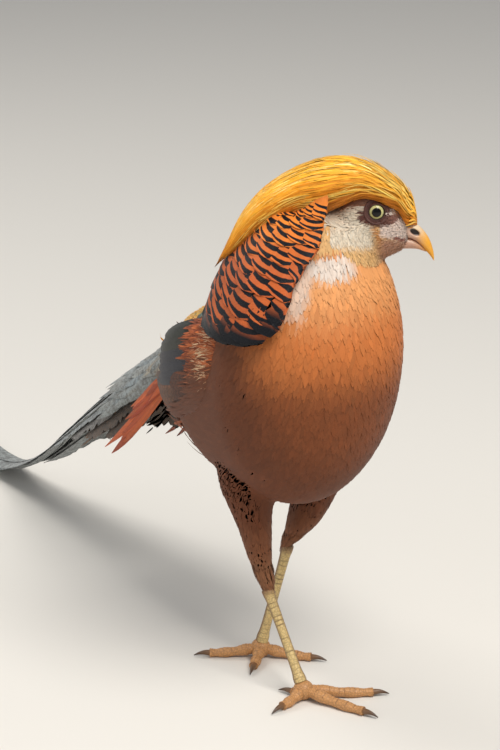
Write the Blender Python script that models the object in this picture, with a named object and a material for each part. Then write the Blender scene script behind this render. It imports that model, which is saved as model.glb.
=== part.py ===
"""Golden pheasant cock, life size, walking with its head turned to its left.

The bird faces +X, its left side is +Y and it stands on the plane z = 0. Sizes are in
millimetres and become metres when a mesh is made. Flesh is lofted through named sections,
feathers are thin tapered vanes that grow in tiers from the surface that carries them, and
every node keeps a gap of GAP to its neighbours.
"""

import math

import bmesh
import bpy
import numpy as np
from mathutils import Matrix, Vector
from mathutils.bvhtree import BVHTree

MM = 0.001
GAP = 0.3
FACETS = 18

# The head is turned to the left of the body, and tips down a little
HEAD_TURN = math.radians(60.0)
NECK_AXIS = np.array((42.0, 8.0))
AHEAD = np.array((math.cos(HEAD_TURN), math.sin(HEAD_TURN), 0.0))
RIGHTWARD = np.array((math.sin(HEAD_TURN), -math.cos(HEAD_TURN), 0.0))

# Each body section: back (x, z), belly (x, z), half width, sideways lean
BODY_SECTIONS = (
    ((-119, 216), (-118, 184), 9, 0),
    ((-104, 226), (-103, 166), 23, 0),
    ((-82, 238), (-84, 152), 37, 0),
    ((-56, 252), (-61, 140), 48, 0),
    ((-28, 268), (-36, 131), 55, 0),
    ((-4, 284), (-8, 128), 59, 0),
    ((8, 295), (22, 129.5), 62, 0),
    ((13, 302), (49, 137), 64, 0),
    ((14, 307), (73, 159), 63, 0),
    ((15, 311), (90, 188), 60, 0),
    ((16, 315), (99, 220), 56, 1),
    ((17, 319), (100, 250), 50.5, 2),
    ((17, 325), (92, 277), 44, 4),
    ((17, 331), (82, 297), 37, 6),
    ((19, 338), (75, 311), 31, 8),
    ((24, 345), (69, 323), 24, 9),
)
NECK_BASE = 12.0
RINGS_PER_SECTION = 2

# Head sections: distance ahead of the neck axis, crown z, chin z, half width
HEAD_SECTIONS = (
    (11, 336, 318, 8.0),
    (15, 343, 311, 11.0),
    (22, 348, 306, 13.0),
    (31, 350, 303, 13.6),
    (39, 347, 302, 12.8),
    (46, 341, 304.5, 11.0),
    (52, 334, 307.5, 8.8),
    (57, 328, 310, 7.0),
)
# Bill sections: distance ahead, top z, bottom z, half width
UPPER_BILL = (
    (48, 329.0, 317.0, 5.2),
    (53, 328.2, 316.6, 5.4),
    (58, 326.6, 315.6, 5.1),
    (62, 324.0, 313.6, 4.5),
    (66, 319.8, 310.2, 3.6),
    (69.4, 314.8, 306.4, 2.7),
    (71.6, 309.0, 303.2, 1.7),
    (72.4, 304.6, 301.6, 0.7),
)
LOWER_BILL = (
    (48, 316.2, 309.0, 4.4),
    (53, 315.9, 309.0, 4.4),
    (58, 314.9, 308.8, 3.9),
    (62, 312.9, 308.2, 3.1),
    (65, 310.4, 307.2, 2.1),
    (66.8, 308.4, 306.8, 0.9),
)
EYE_AHEAD = 34.3
EYE_HEIGHT = 336.0
EYE_RADIUS = 6.4
EYE_OUT = 14.4
LID_OUT = 12.7
LID_RADIUS = 5.4
LID_THICKNESS = 1.0
MOUTH_BACK = 46.5
MOUTH_LEVEL = 316.4
MOUTH_HEIGHT = 0.9
# Nostril: distance ahead, z, sideways, and half sizes along, across and upright
NOSTRIL = (58.9, 320.9, 4.9)
NOSTRIL_SIZE = (1.9, 1.4, 0.7)
NOSTRIL_SLANT = math.radians(-24.0)

# Each leg: knee end inside the belly, down to the hock, as (x, y, z, radius fore-aft, radius across)
RIGHT_THIGH = (
    (4, -26, 158, 26, 20),
    (8, -27, 138, 22, 17.5),
    (12, -26, 122, 15.5, 13.5),
    (13.6, -24, 108, 12.2, 11.2),
    (14, -21.5, 92, 9.6, 9.0),
    (16, -18.5, 77, 6.8, 6.4),
    (17.2, -17.2, 70, 4.6, 4.6),
)
LEFT_THIGH = (
    (12, 26, 158, 26, 20),
    (8, 27, 138, 21, 17),
    (5, 24.5, 121, 17, 14),
    (1, 20.5, 105, 13, 11.5),
    (-5, 17, 93, 8.2, 7.6),
    (-10, 15.8, 86, 5.0, 5.0),
)
# Each shank: hock, foot joint
RIGHT_SHANK = ((17.5, -17.0, 67.0), (52.0, -11.4, 11.5))
LEFT_SHANK = ((-12.0, 16.0, 82.0), (-18.4, -0.6, 12.0))
HOCK_RADIUS = 5.4
# Each foot: heel of the palm, then the claw tips of inner, middle, outer and hind toe
RIGHT_FOOT = ((54.1, -10.5), (78.8, 42.0), (105.7, 15.8), (66.0, -42.1), (36.5, -19.5))
LEFT_FOOT = ((-19.0, -1.2), (-41.3, -42.0), (6.1, -24.2), (12.8, 33.2), (-36.0, 10.0))
TOE_NAMES = ("inner", "middle", "outer", "hind")
PALM_HEIGHT = 8.0
TOE_ROOT_RADIUS = 4.4
TOE_TIP_RADIUS = 2.9
CLAW_LENGTH = 11.0
CLAW_RADIUS = 2.1
CLAW_ARCH = 0.9
CLAW_DROP = 1.6

# Crest outline: distance ahead of the neck axis, top z, underside z, half width
CREST_SECTIONS = (
    (60, 332, 326, 4.0),
    (55, 347, 333, 10.0),
    (44, 357, 343, 14.5),
    (30, 365, 347, 17.0),
    (14, 368.5, 345, 18.5),
    (-2, 367, 339, 18.5),
    (-17, 361, 332, 17.5),
    (-31, 352.5, 325, 15.5),
    (-43, 342, 317, 12.5),
    (-53, 328, 309, 9.0),
    (-61, 311, 303, 4.0),
)

# Cape profile: distance out and z at the back, then distance out and z at the front edges
CAPE_PROFILE = (
    (14, 333, 27, 346),
    (27, 326, 30, 336),
    (39, 318, 32, 324),
    (50, 308, 35, 310),
    (61, 296, 39, 296),
    (69, 282, 44, 281),
    (74.5, 267, 49, 267),
    (76, 254, 53, 254),
)
CAPE_EDGE_TOP = math.radians(100.0)
CAPE_EDGE_FOOT = math.radians(66.0)
# The cape's foot rises where it lies on the back, on its left side
CAPE_BACK_RISE = 26.0
CAPE_CORE_END = 0.72
# Each tier of cape feathers: root, tip, how many
CAPE_TIERS = (
    (0.02, 0.27, 5),
    (0.13, 0.40, 5),
    (0.26, 0.53, 6),
    (0.39, 0.66, 6),
    (0.52, 0.79, 6),
    (0.65, 0.93, 6),
)
CAPE_DEPTH = 11.0
CAPE_LEAST = 6.5
CAPE_CLEAR = 1.7
# How far above its outline the body under the cape is looked for, and how the cape leans on the back
CAPE_REACH = 60.0
CAPE_LEAN = 1.8
# Each tier of crest locks: root, tip, how many
CREST_CORE_END = 0.66
CREST_TIERS = (
    (0.03, 0.34, 4),
    (0.12, 0.48, 4),
    (0.24, 0.62, 5),
    (0.37, 0.76, 4),
    (0.5, 0.89, 3),
    (0.62, 1.0, 3),
)
# How far the crest's locks sink towards its axis at their roots, as a share of its section
CREST_BED = 0.7
CREST_WRAP = math.radians(105.0)

# Wing sections: x, top z, bottom z, distance out from the middle plane
WING_SECTIONS = (
    (34, 252, 222, 46),
    (24, 258, 208, 55),
    (2, 260, 194, 60.5),
    (-28, 250, 184, 60),
    (-56, 238, 175, 56),
    (-82, 226, 168, 46.5),
    (-106, 213, 167, 35),
    (-126, 201, 172, 24),
)
WING_DEPTH = 12.0
WING_CORE_END = 0.56
# Each tier of wing feathers: root, tip, how many, first and last place from top to bottom edge
WING_TIERS = (
    (0.06, 0.42, 5, -0.8, 0.7),
    (0.20, 0.60, 5, -0.8, 0.75),
    (0.34, 0.84, 6, -0.82, 0.55),
    (0.48, 1.0, 5, -0.4, 0.78),
)
WING_SHINGLE = 6.0
WING_CLEAR = 0.4

# Tail ridge: x, z, depth below the ridge, half width
TAIL_SECTIONS = (
    (-98, 219, 26, 15),
    (-130, 202.5, 36, 20),
    (-161, 182, 46, 25),
    (-197, 159, 52, 29),
    (-247, 124.5, 47, 30),
    (-291, 91, 32, 29),
    (-336, 58, 16, 27),
    (-380, 32, 9, 25),
    (-424, 14.5, 7, 23),
    (-475, 6.2, 2.0, 21),
    (-560, 4.6, 1.4, 17),
    (-640, 2.8, 0.8, 11),
    (-668, 1.9, 0.5, 4),
)
TAIL_ROOT_END = 0.14
TAIL_PAIRS = 7
TAIL_ARCH = math.radians(100.0)
# How far the middle pair lies from the ridge, and where on the arch the outermost pair lies
TAIL_NEAR = 6.5
TAIL_LAST = 0.9
# Slope of each feather across the vault, so that it slides under its inner neighbour
TAIL_TILT = 0.24
# Height from one feather to the next where they lie stacked, and where they are shingled
TAIL_STEP = 1.15
TAIL_SHINGLE = 3.0
TAIL_SPLIT = -424.0
# The hidden tie that holds the feathers together on both sides of the split
TIE_REACH = 12.0
TIE_ACROSS = 0.5
TIE_LEVELS = (-0.2, -3.6)
# Share of the tail's length that each pair of feathers reaches, from the middle pair outward
TAIL_REACH = (1.0, 0.84, 0.6, 0.46, 0.37, 0.31, 0.26)
# Where the tail feathers start, and where they leave the root's solid part
TAIL_ROOT = 0.03
TAIL_OUT = 0.1
TAIL_FLAT_DROP = 20.0
# Half widths of the middle pair of tail feathers and of the others
TAIL_WIDE = (11.0, 9.0)
TAIL_TIP = 0.3
# The largest half width as a share of the arch
TAIL_WIDEST = 0.62
COVERT_LENGTH = 92.0
COVERT_CORE_END = 0.45
# Each tier of tail coverts: root, tip at the ridge, tip at the sides, how many
COVERT_TIERS = (
    (0.10, 0.62, 0.8, 5),
    (0.24, 0.9, 1.25, 6),
    (0.36, 1.1, 1.8, 5),
)
COVERT_LIFT = 6.4
COVERT_RISE = 4.6
COVERT_HALF = 0.17
FEATHER_EDGE = 0.55
FEATHER_RIB = 0.75
LEVEL = 0.6
ROOT_SINK = 2.5
SEED = 7
SLIVER = 0.000001
LEVEL_ANGLES = [math.radians(degrees) for degrees in (4.0, 3.0, 2.0, 1.0, 0.3, 0.0)]

# Colours as linear red, green, blue, then roughness
ORANGE = (0.52, 0.18, 0.035, 0.62)
GOLD = (0.72, 0.34, 0.03, 0.5)
CAPE_ORANGE = (0.66, 0.21, 0.03, 0.55)
TAN = (0.34, 0.15, 0.06, 0.7)
SKIN_YELLOW = (0.42, 0.27, 0.12, 0.55)
HORN = (0.66, 0.42, 0.13, 0.4)
IRIS = (0.62, 0.6, 0.28, 0.12)
FACE_BUFF = (0.5, 0.32, 0.17, 0.7)
WING_BROWN = (0.1, 0.045, 0.03, 0.6)
TAIL_GREY = (0.3, 0.27, 0.22, 0.65)
RUMP_RED = (0.45, 0.1, 0.03, 0.6)
CLAW_BROWN = (0.16, 0.1, 0.06, 0.4)


def clear_scene():
    """Removes every object that the file opens with."""
    for stale in list(bpy.data.objects):
        bpy.data.objects.remove(stale, do_unlink=True)


def material(name, finish):
    """Makes the Principled material that a node wears."""
    made = bpy.data.materials.new(name)
    made.use_nodes = True
    shader = made.node_tree.nodes["Principled BSDF"]
    shader.inputs["Base Color"].default_value = (*finish[:3], 1.0)
    shader.inputs["Roughness"].default_value = finish[3]
    shader.inputs["Metallic"].default_value = 0.0
    return made


def spline(points, count):
    """Reads a Catmull-Rom curve through the rows of points at count even steps."""
    rows = np.array(points, dtype=float)
    padded = np.vstack((2 * rows[0] - rows[1], rows, 2 * rows[-1] - rows[-2]))
    at = np.linspace(0.0, len(rows) - 1, count)
    first = np.minimum(at.astype(int), len(rows) - 2)
    t = (at - first)[:, None]
    p0, p1, p2, p3 = (padded[first + k] for k in range(4))
    return 0.5 * (2 * p1 + (p2 - p0) * t + (2 * p0 - 5 * p1 + 4 * p2 - p3) * t**2
                  + (3 * p1 - p0 - 3 * p2 + p3) * t**3)


def spline_at(points, share):
    """Reads the same curve at one share of its sections, past its ends in a straight line."""
    rows = np.array(points, dtype=float)
    at = share * (len(rows) - 1)
    if at > len(rows) - 1:
        return rows[-1] + (rows[-1] - rows[-2]) * (at - len(rows) + 1)
    first = min(max(int(at), 0), len(rows) - 2)
    padded = np.vstack((2 * rows[0] - rows[1], rows, 2 * rows[-1] - rows[-2]))
    p0, p1, p2, p3 = padded[first:first + 4]
    t = at - first
    return 0.5 * (2 * p1 + (p2 - p0) * t + (2 * p0 - 5 * p1 + 4 * p2 - p3) * t**2
                  + (3 * p1 - p0 - 3 * p2 + p3) * t**3)


def unit(rows):
    """Scales each row to length one."""
    rows = np.asarray(rows, dtype=float)
    return rows / np.maximum(np.linalg.norm(rows, axis=-1, keepdims=True), 1e-9)


def head_point(ahead, rightward, height):
    """Places a point given in the turned head's own directions."""
    spot = np.array((NECK_AXIS[0], NECK_AXIS[1], height), dtype=float)
    return spot + ahead * AHEAD + rightward * RIGHTWARD


def oval(centre, across, up, half_width, top, bottom, count=FACETS):
    """Makes one ring: an ellipse whose upper and lower halves differ in height."""
    turn = np.arange(count) * 2 * math.pi / count
    rise = np.where(np.cos(turn) > 0, top, bottom) * np.cos(turn)
    return np.asarray(centre) + np.outer(np.sin(turn) * half_width, across) + np.outer(rise, up)


def mesh_object(name, points, faces):
    """Turns points in millimetres and their faces into an object with its faces outward."""
    mesh = bpy.data.meshes.new(name)
    mesh.from_pydata((np.asarray(points) * MM).tolist(), [], faces)
    form = bmesh.new()
    form.from_mesh(mesh)
    bmesh.ops.recalc_face_normals(form, faces=form.faces)
    form.to_mesh(mesh)
    form.free()
    made = bpy.data.objects.new(name, mesh)
    bpy.context.scene.collection.objects.link(made)
    return made


def loft(name, rings, first_pole=None, last_pole=None):
    """Skins rings of points; each end closes in a fan round its pole, or its own middle."""
    rings = [np.asarray(ring) for ring in rings]
    count = len(rings[0])
    points = list(np.vstack(rings))
    points.append(rings[0].mean(axis=0) if first_pole is None else np.asarray(first_pole))
    points.append(rings[-1].mean(axis=0) if last_pole is None else np.asarray(last_pole))
    faces = []
    for ring in range(len(rings) - 1):
        for k in range(count):
            after = (k + 1) % count
            low = ring * count
            faces.append((low + k, low + after, low + count + after, low + count + k))
    end = (len(rings) - 1) * count
    for k in range(count):
        after = (k + 1) % count
        faces.append((after, k, len(points) - 2))
        faces.append((end + k, end + after, len(points) - 1))
    return mesh_object(name, points, faces)


def shell(name, outer, inner):
    """Closes two grids of points that face each other into one thin body.

    Both faces are split into triangles along the same diagonals, so that they never cross.
    """
    outer = np.asarray(outer)
    inner = np.asarray(inner)
    rows, columns = outer.shape[:2]
    points = np.vstack((outer.reshape(-1, 3), inner.reshape(-1, 3)))
    far = rows * columns
    faces = []
    for row in range(rows - 1):
        for column in range(columns - 1):
            a = row * columns + column
            b, c, d = a + 1, a + columns + 1, a + columns
            faces += [(a, b, c), (a, c, d), (far + a, far + c, far + b), (far + a, far + d, far + c)]
    rim = [column for column in range(columns)]
    rim += [row * columns + columns - 1 for row in range(1, rows)]
    rim += [(rows - 1) * columns + column for column in range(columns - 2, -1, -1)]
    rim += [row * columns for row in range(rows - 2, 0, -1)]
    for here, after in zip(rim, rim[1:] + rim[:1]):
        faces += [(here, far + here, far + after), (here, far + after, after)]
    return mesh_object(name, points, faces)


def boolean(target, operation, other, solver="EXACT"):
    """Applies one Boolean of target with an object or a collection."""
    step = target.modifiers.new("shape", "BOOLEAN")
    step.operation = operation
    step.solver = solver
    if isinstance(other, bpy.types.Collection):
        step.operand_type = "COLLECTION"
        step.collection = other
    else:
        step.object = other
    graph = bpy.context.evaluated_depsgraph_get()
    shaped = bpy.data.meshes.new_from_object(target.evaluated_get(graph))
    target.modifiers.remove(step)
    stale = target.data
    target.data = shaped
    bpy.data.meshes.remove(stale)


def remove(objects):
    """Removes helper objects that have done their work."""
    for helper in objects:
        bpy.data.objects.remove(helper, do_unlink=True)


def island_area(island):
    """Measures the surface that a set of mesh corners carries."""
    faces = {face for corner in island for face in corner.link_faces}
    return sum(face.calc_area() for face in faces)


def keep_largest(target):
    """Keeps only the closed surface with the largest area."""
    form = bmesh.new()
    form.from_mesh(target.data)
    unseen = set(form.verts)
    islands = []
    while unseen:
        seed = unseen.pop()
        island = {seed}
        queue = [seed]
        while queue:
            for edge in queue.pop().link_edges:
                for corner in edge.verts:
                    if corner in unseen:
                        unseen.discard(corner)
                        island.add(corner)
                        queue.append(corner)
        islands.append(island)
    islands.sort(key=island_area)
    for island in islands[:-1]:
        bmesh.ops.delete(form, geom=list(island), context="VERTS")
    form.to_mesh(target.data)
    form.free()


def smooth_out(target):
    """Dissolves the level seams that a union leaves behind, as far as the surface stays closed."""
    for angle in LEVEL_ANGLES:
        form = bmesh.new()
        form.from_mesh(target.data)
        bmesh.ops.remove_doubles(form, verts=form.verts, dist=SLIVER)
        bmesh.ops.dissolve_limit(form, angle_limit=angle, verts=form.verts, edges=form.edges)
        bmesh.ops.triangulate(form, faces=form.faces)
        bmesh.ops.remove_doubles(form, verts=form.verts, dist=SLIVER)
        closed = all(edge.is_manifold for edge in form.edges)
        if closed:
            form.to_mesh(target.data)
        form.free()
        if closed:
            return


def fuse(target, pieces, solver="EXACT"):
    """Joins closed pieces to target as one body."""
    if not pieces:
        return
    group = bpy.data.collections.new("pieces")
    bpy.context.scene.collection.children.link(group)
    for piece in pieces:
        group.objects.link(piece)
    boolean(target, "UNION", group, solver)
    remove(pieces)
    bpy.data.collections.remove(group)
    keep_largest(target)


def cut(target, cutters, solver="EXACT"):
    """Cuts target clear of each cutter, and keeps its largest part."""
    for cutter in cutters:
        boolean(target, "DIFFERENCE", cutter, solver)
    keep_largest(target)


def body_rings(first, last, grow=0.0):
    """Reads the body's rings between two section numbers, each grown outward by grow."""
    rows = np.array([(*back, *belly, width, lean) for back, belly, width, lean in BODY_SECTIONS])
    fine = spline(rows, (len(rows) - 1) * RINGS_PER_SECTION + 1)
    start = round(first * RINGS_PER_SECTION)
    stop = round(last * RINGS_PER_SECTION)
    rings = []
    for back_x, back_z, belly_x, belly_z, width, lean in fine[start:stop + 1]:
        back = np.array((back_x, lean, back_z))
        belly = np.array((belly_x, lean, belly_z))
        height = np.linalg.norm(back - belly) / 2
        up = (back - belly) / (2 * height)
        rings.append(oval((back + belly) / 2, (0, 1, 0), up, width + grow, height + grow, height + grow))
    return rings


def body_form(name, first, last, grow=0.0, shift=0.0):
    """Lofts a length of the body, its ends drawn in by shift along the body."""
    rings = body_rings(first, last, grow)
    start = unit(rings[1].mean(axis=0) - rings[0].mean(axis=0))
    stop = unit(rings[-1].mean(axis=0) - rings[-2].mean(axis=0))
    if first > 0:
        rings[0] = rings[0] + start * shift
    if last < len(BODY_SECTIONS) - 1:
        rings[-1] = rings[-1] - stop * shift
    return loft(name, rings)


def head_form(name, grow=0.0):
    """Lofts the head from nape to bill base."""
    rows = spline(HEAD_SECTIONS, 12)
    rings = []
    for ahead, crown, chin, width in rows:
        middle = head_point(ahead, 0, (crown + chin) / 2 + 2)
        top = crown - middle[2] + grow
        bottom = middle[2] - chin + grow
        rings.append(oval(middle, RIGHTWARD, (0, 0, 1), width + grow, top, bottom))
    nape = rings[0].mean(axis=0) - AHEAD * (4 + grow)
    return loft(name, rings, first_pole=nape)


def bill_form(name, sections, grow=0.0):
    """Lofts one half of the bill, with its tip at the last section."""
    rows = spline(sections, 9)
    rings = []
    for ahead, top, bottom, width in rows:
        middle = head_point(ahead, 0, (top + bottom) / 2)
        height = (top - bottom) / 2 + grow
        rings.append(oval(middle, RIGHTWARD, (0, 0, 1), width + grow, height, height, 10))
    return loft(name, rings)


def mouth_form(name):
    """Makes the slot that parts the lips from the corner of the mouth to the bill."""
    points = [head_point(ahead, rightward, MOUTH_LEVEL + rise)
              for ahead, height in ((MOUTH_BACK, 0.3), (62.0, MOUTH_HEIGHT))
              for rightward in (-14, 14) for rise in (-height / 2, height / 2)]
    faces = [(0, 1, 3, 2), (4, 6, 7, 5), (0, 4, 5, 1), (2, 3, 7, 6), (0, 2, 6, 4), (1, 5, 7, 3)]
    return mesh_object(name, points, faces)


def ball(name, centre, radii, turned=None, rows=7, count=12):
    """Makes an ellipsoid from rings, along the axes of turned or the world's."""
    axes = np.eye(3) if turned is None else np.asarray(turned)
    rings = []
    for k in range(1, rows):
        tilt = math.pi * k / rows
        middle = np.asarray(centre) - axes[2] * radii[2] * math.cos(tilt)
        rings.append(oval(middle, axes[0], axes[1], radii[0] * math.sin(tilt), radii[1] * math.sin(tilt),
                          radii[1] * math.sin(tilt), count))
    low = np.asarray(centre) - axes[2] * radii[2]
    high = np.asarray(centre) + axes[2] * radii[2]
    return loft(name, rings, low, high)


def tube(name, points, radii, grow=0.0, count=14, flat=1.0):
    """Skins a round bar along points; flat scales its upright radius."""
    points = np.asarray(points, dtype=float)
    along = unit(np.gradient(points, axis=0))
    rings = []
    for spot, way, radius in zip(points, along, radii):
        side = unit(np.cross(way, (0, 0, 1) if abs(way[2]) < 0.95 else (1, 0, 0)))
        up = np.cross(side, way)
        tall = radius * flat + grow
        rings.append(oval(spot, side, up, radius + grow, tall, tall, count))
    first = points[0] - along[0] * (radii[0] * 0.4 + grow)
    last = points[-1] + along[-1] * (radii[-1] * 0.4 + grow)
    return loft(name, rings, first, last)


def ring_form(name, centre, axes, major, minor, count=13, facets=5):
    """Makes a closed ring round the third of the given axes."""
    turn = np.arange(count) * 2 * math.pi / count
    ways = [axes[0] * math.cos(a) + axes[1] * math.sin(a) for a in turn]
    rings = [oval(centre + way * major, way, axes[2], minor, minor, minor, facets) for way in ways]
    points = np.vstack(rings)
    faces = []
    for ring in range(count):
        low = ring * facets
        high = (ring + 1) % count * facets
        for k in range(facets):
            after = (k + 1) % facets
            faces.append((low + k, low + after, high + after, high + k))
    return mesh_object(name, points, faces)


def thigh_form(name, stations, grow=0.0):
    """Lofts a feathered thigh from the belly to the hock."""
    rows = spline(stations, 10)
    rings = []
    for x, y, z, fore, across in rows:
        rings.append(oval((x, y, z), (1, 0, 0), (0, 1, 0), fore + grow, across + grow, across + grow, 16))
    return loft(name, rings)


def shank_form(name, ends, grow=0.0):
    """Makes the bare shank with its hock knob and its foot joint."""
    hock = np.array(ends[0])
    joint = np.array(ends[1])
    places = (-0.02, 0.0, 0.05, 0.14, 0.5, 0.84, 0.95, 1.0)
    sizes = (0.7, 1.0, 0.96, 0.64, 0.6, 0.64, 0.82, 0.8)
    line = spline([hock + (joint - hock) * place for place in places], 10)
    radii = spline([(size * HOCK_RADIUS,) for size in sizes], 10)[:, 0]
    return tube(name, line, radii, grow, 10)


def toe_line(foot, toe):
    """Reads a toe's middle line from the palm to the root of its claw."""
    palm = np.array((*foot[0], PALM_HEIGHT))
    tip = np.array((*foot[toe + 1], 0.0))
    reach = np.linalg.norm(tip[:2] - palm[:2])
    ahead = unit(np.array((*(tip[:2] - palm[:2]), 0.0)))
    share = (0.0, 0.22, 0.5, 0.8, 1.0)
    heights = (PALM_HEIGHT - 1.0, 5.6, 3.9, 3.0, 3.0)
    length = reach - CLAW_LENGTH
    return np.array([palm * (1, 1, 0) + ahead * length * part + (0, 0, height)
                     for part, height in zip(share, heights)]), ahead


def foot_form(name, foot):
    """Joins palm and four toes, cut flat where they stand on the floor."""
    palm = ball(name, (*foot[0], PALM_HEIGHT - 1.4), (7.0, 7.0, 6.8), rows=7, count=12)
    toes = []
    for toe in range(4):
        line, _ = toe_line(foot, toe)
        fine = spline(line, 7)
        knuckles = 1.0 + 0.1 * np.cos(np.linspace(0.0, 6 * math.pi, 7))
        radii = np.linspace(TOE_ROOT_RADIUS, TOE_TIP_RADIUS, 7) * knuckles
        toes.append(tube("toe", fine, radii, count=7, flat=0.92))
    fuse(palm, toes)
    below = mesh_box("below", (-200, -200, -40), (200, 200, 0))
    cut(palm, [below])
    remove([below])
    return palm


def claw_form(name, foot, toe, grow=0.0):
    """Makes one claw, arched from the toe's end down to its tip."""
    line, ahead = toe_line(foot, toe)
    root = line[-1]
    share = np.linspace(-0.25, 1.0, 5)
    grown = np.maximum(share, 0.0)
    arched = CLAW_ARCH * np.sin(math.pi * grown) - CLAW_DROP * grown
    points = [root + ahead * CLAW_LENGTH * part + (0, 0, rise) for part, rise in zip(share, arched)]
    radii = CLAW_RADIUS * (1.0 - 0.86 * np.clip(share, 0, 1)**1.3)
    return tube(name, points, radii, grow, 6)


def mesh_box(name, low, high):
    """Makes a box between two corners."""
    xs, ys, zs = zip(low, high)
    points = [(x, y, z) for x in xs for y in ys for z in zs]
    faces = [(0, 1, 3, 2), (4, 6, 7, 5), (0, 4, 5, 1), (2, 3, 7, 6), (0, 2, 6, 4), (1, 5, 7, 3)]
    return mesh_object(name, points, faces)


def wing_guide(side, along, across, height=0.0):
    """Places a point on the folded wing: along from shoulder to tip, across from top edge to bottom."""
    x, top, bottom, out = spline_at(WING_SECTIONS, along)
    turn = across * math.pi / 2
    middle = np.array((x, side * (out - WING_DEPTH), (top + bottom) / 2))
    rise = -math.sin(turn) * ((top - bottom) / 2 + height)
    return middle + np.array((0, side * math.cos(turn) * (WING_DEPTH + height), rise))


def wing_form(name, side, grow=0.0, end=1.0):
    """Lofts the folded wing, on the side given by the sign of y, to the given share of its length."""
    rings = []
    for along in np.linspace(0.0, end, 1 + round(12 * end)):
        x, top, bottom, out = spline_at(WING_SECTIONS, along)
        middle = np.array((x, side * (out - WING_DEPTH), (top + bottom) / 2))
        height = (top - bottom) / 2 + grow
        rings.append(oval(middle, (0, 1, 0), (0, 0, 1), WING_DEPTH + grow, height, height, 18))
    tip = rings[-1].mean(axis=0) + (-8 * end, -3 * side * end, -3 * end)
    return loft(name, rings, last_pole=tip)


def crest_guide(along, across, level=1.0, offset=0.0):
    """Places a point on the crest: along from forehead to tip, across from its left rim to its right.

    Level 1 lies on the crest's outline and level 0 deep inside it; offset moves out from there.
    """
    ahead, top, under, width = spline_at(CREST_SECTIONS, along)
    turn = across * CREST_WRAP
    middle = head_point(ahead, 0, (top + under) / 2)
    share = 1.0 - CREST_BED * (1.0 - level)
    wide = max(width * share + offset, 0.4)
    tall = max((top - under) / 2 * share + offset, 0.4)
    return middle + RIGHTWARD * wide * math.sin(turn) + np.array((0, 0, 1)) * tall * math.cos(turn)


def crest_form(name, share=1.0, grow=0.0, end=1.0):
    """Lofts the crest's sweep from the forehead; share scales its width and its upper half."""
    rings = []
    for along in np.linspace(0.0, end, 1 + round(14 * end)):
        ahead, top, under, width = spline_at(CREST_SECTIONS, along)
        middle = head_point(ahead, 0, (top + under) / 2)
        height = (top - under) / 2
        rings.append(oval(middle, RIGHTWARD, (0, 0, 1), width * math.sqrt(share) * 0.9 + grow,
                          height * share + grow, height + grow, 10))
    return loft(name, rings)


def cape_guide(along, across, height=0.0):
    """Places a point on the cape: along from nape to foot, across from its left edge to its right."""
    back, back_level, front, front_level = spline_at(CAPE_PROFILE, along)
    edge = CAPE_EDGE_TOP + (CAPE_EDGE_FOOT - CAPE_EDGE_TOP) * min(along, 1.0)
    turn = across * edge
    blend = math.cos(across * math.pi / 2)
    reach = front + (back - front) * blend + height
    level = front_level + (back_level - front_level) * blend
    rise = CAPE_BACK_RISE * max(0.0, -across)**1.2 * along**3
    return head_point(-math.cos(turn) * reach, math.sin(turn) * reach, level + rise + 0.3 * height)


def cape_bed(ground):
    """Gives the cape's guide over the body: level 0 lies on the body, level 1 on the cape's outline."""
    def place(along, across, level, offset=0.0):
        rim = cape_guide(along, across)
        lean = CAPE_LEAN * max(-across, 0.0) * along
        outward = unit(unit(cape_guide(along, across, 1.0) - rim) + np.array((0, 0, lean)))
        body = ground.below(rim + outward * CAPE_REACH, -outward)
        depth = CAPE_DEPTH if body is None else min(body - CAPE_REACH - CAPE_CLEAR, CAPE_DEPTH)
        base = rim - outward * depth
        return base + outward * (max(depth, CAPE_LEAST) * level + offset)
    return place


def cape_form(name, guide, low, high, end=1.0):
    """Skins a length of the cape as one shell, from low millimetres over its bed to a level."""
    rows = np.linspace(0.0, end, 1 + round(7 * end))
    columns = np.linspace(-1.0, 1.0, 13)
    outer = [[guide(along, across, high) for across in columns] for along in rows]
    inner = [[guide(along, across, 0.0, low) for across in columns] for along in rows]
    return shell(name, outer, inner)


def arch(section, across, offset):
    """Places a point on one arched section of the tail, and measures the arch's half length."""
    x, ridge, drop, width = section
    angle = TAIL_ARCH * min(max(drop / width, 0.1), 1.0)
    wide = width / math.sin(min(angle, math.pi / 2))
    tall = drop / (1.0 - math.cos(angle))
    turn = across * angle
    out = unit((0.0, tall * math.sin(turn), wide * math.cos(turn)))
    spot = np.array((x, wide * math.sin(turn), ridge - tall * (1.0 - math.cos(turn))))
    return spot + out * offset, angle * math.hypot(wide, tall) / math.sqrt(2.0)


def tail_guide(along, across, level, offset=0.0):
    """Places a point on the tail's vault, across from its right edge to its left, level in millimetres."""
    return arch(spline_at(TAIL_SECTIONS, along), across, level + offset)[0]


def tail_form(name, grow=0.0, end=1.0):
    """Lofts the tail's vault as a filled form from its root to the given share of its length."""
    rings = []
    for along in np.linspace(0.0, end, 1 + round(30 * end)):
        rings.append([tail_guide(along, across, grow) for across in np.linspace(-1.0, 1.0, 13)])
    return loft(name, rings)


def tail_tie(name):
    """Makes the flat tie under the tail feathers where the tail is parted in two."""
    grids = [[[tail_guide(tail_share(x), across, lift) for across in (-TIE_ACROSS, 0.0, TIE_ACROSS)]
              for x in (TAIL_SPLIT + TIE_REACH, TAIL_SPLIT - TIE_REACH)] for lift in TIE_LEVELS]
    return shell(name, *grids)


def coverts_form(name, grow=0.0, end=1.0):
    """Lofts the tail coverts' core as a saddle over the root of the tail."""
    rings = []
    for share in np.linspace(0.0, end, 1 + round(12 * end)):
        x, ridge, _, width = tail_at(TAIL_SECTIONS[0][0] - share * COVERT_LENGTH)
        wide, top, bottom = np.array((width + 4.5, 12.0, 8.0)) + grow
        rings.append(oval((x, 0, ridge - 9), (0, 1, 0), (0, 0, 1), wide, top, bottom, 16))
    return loft(name, rings)


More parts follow.
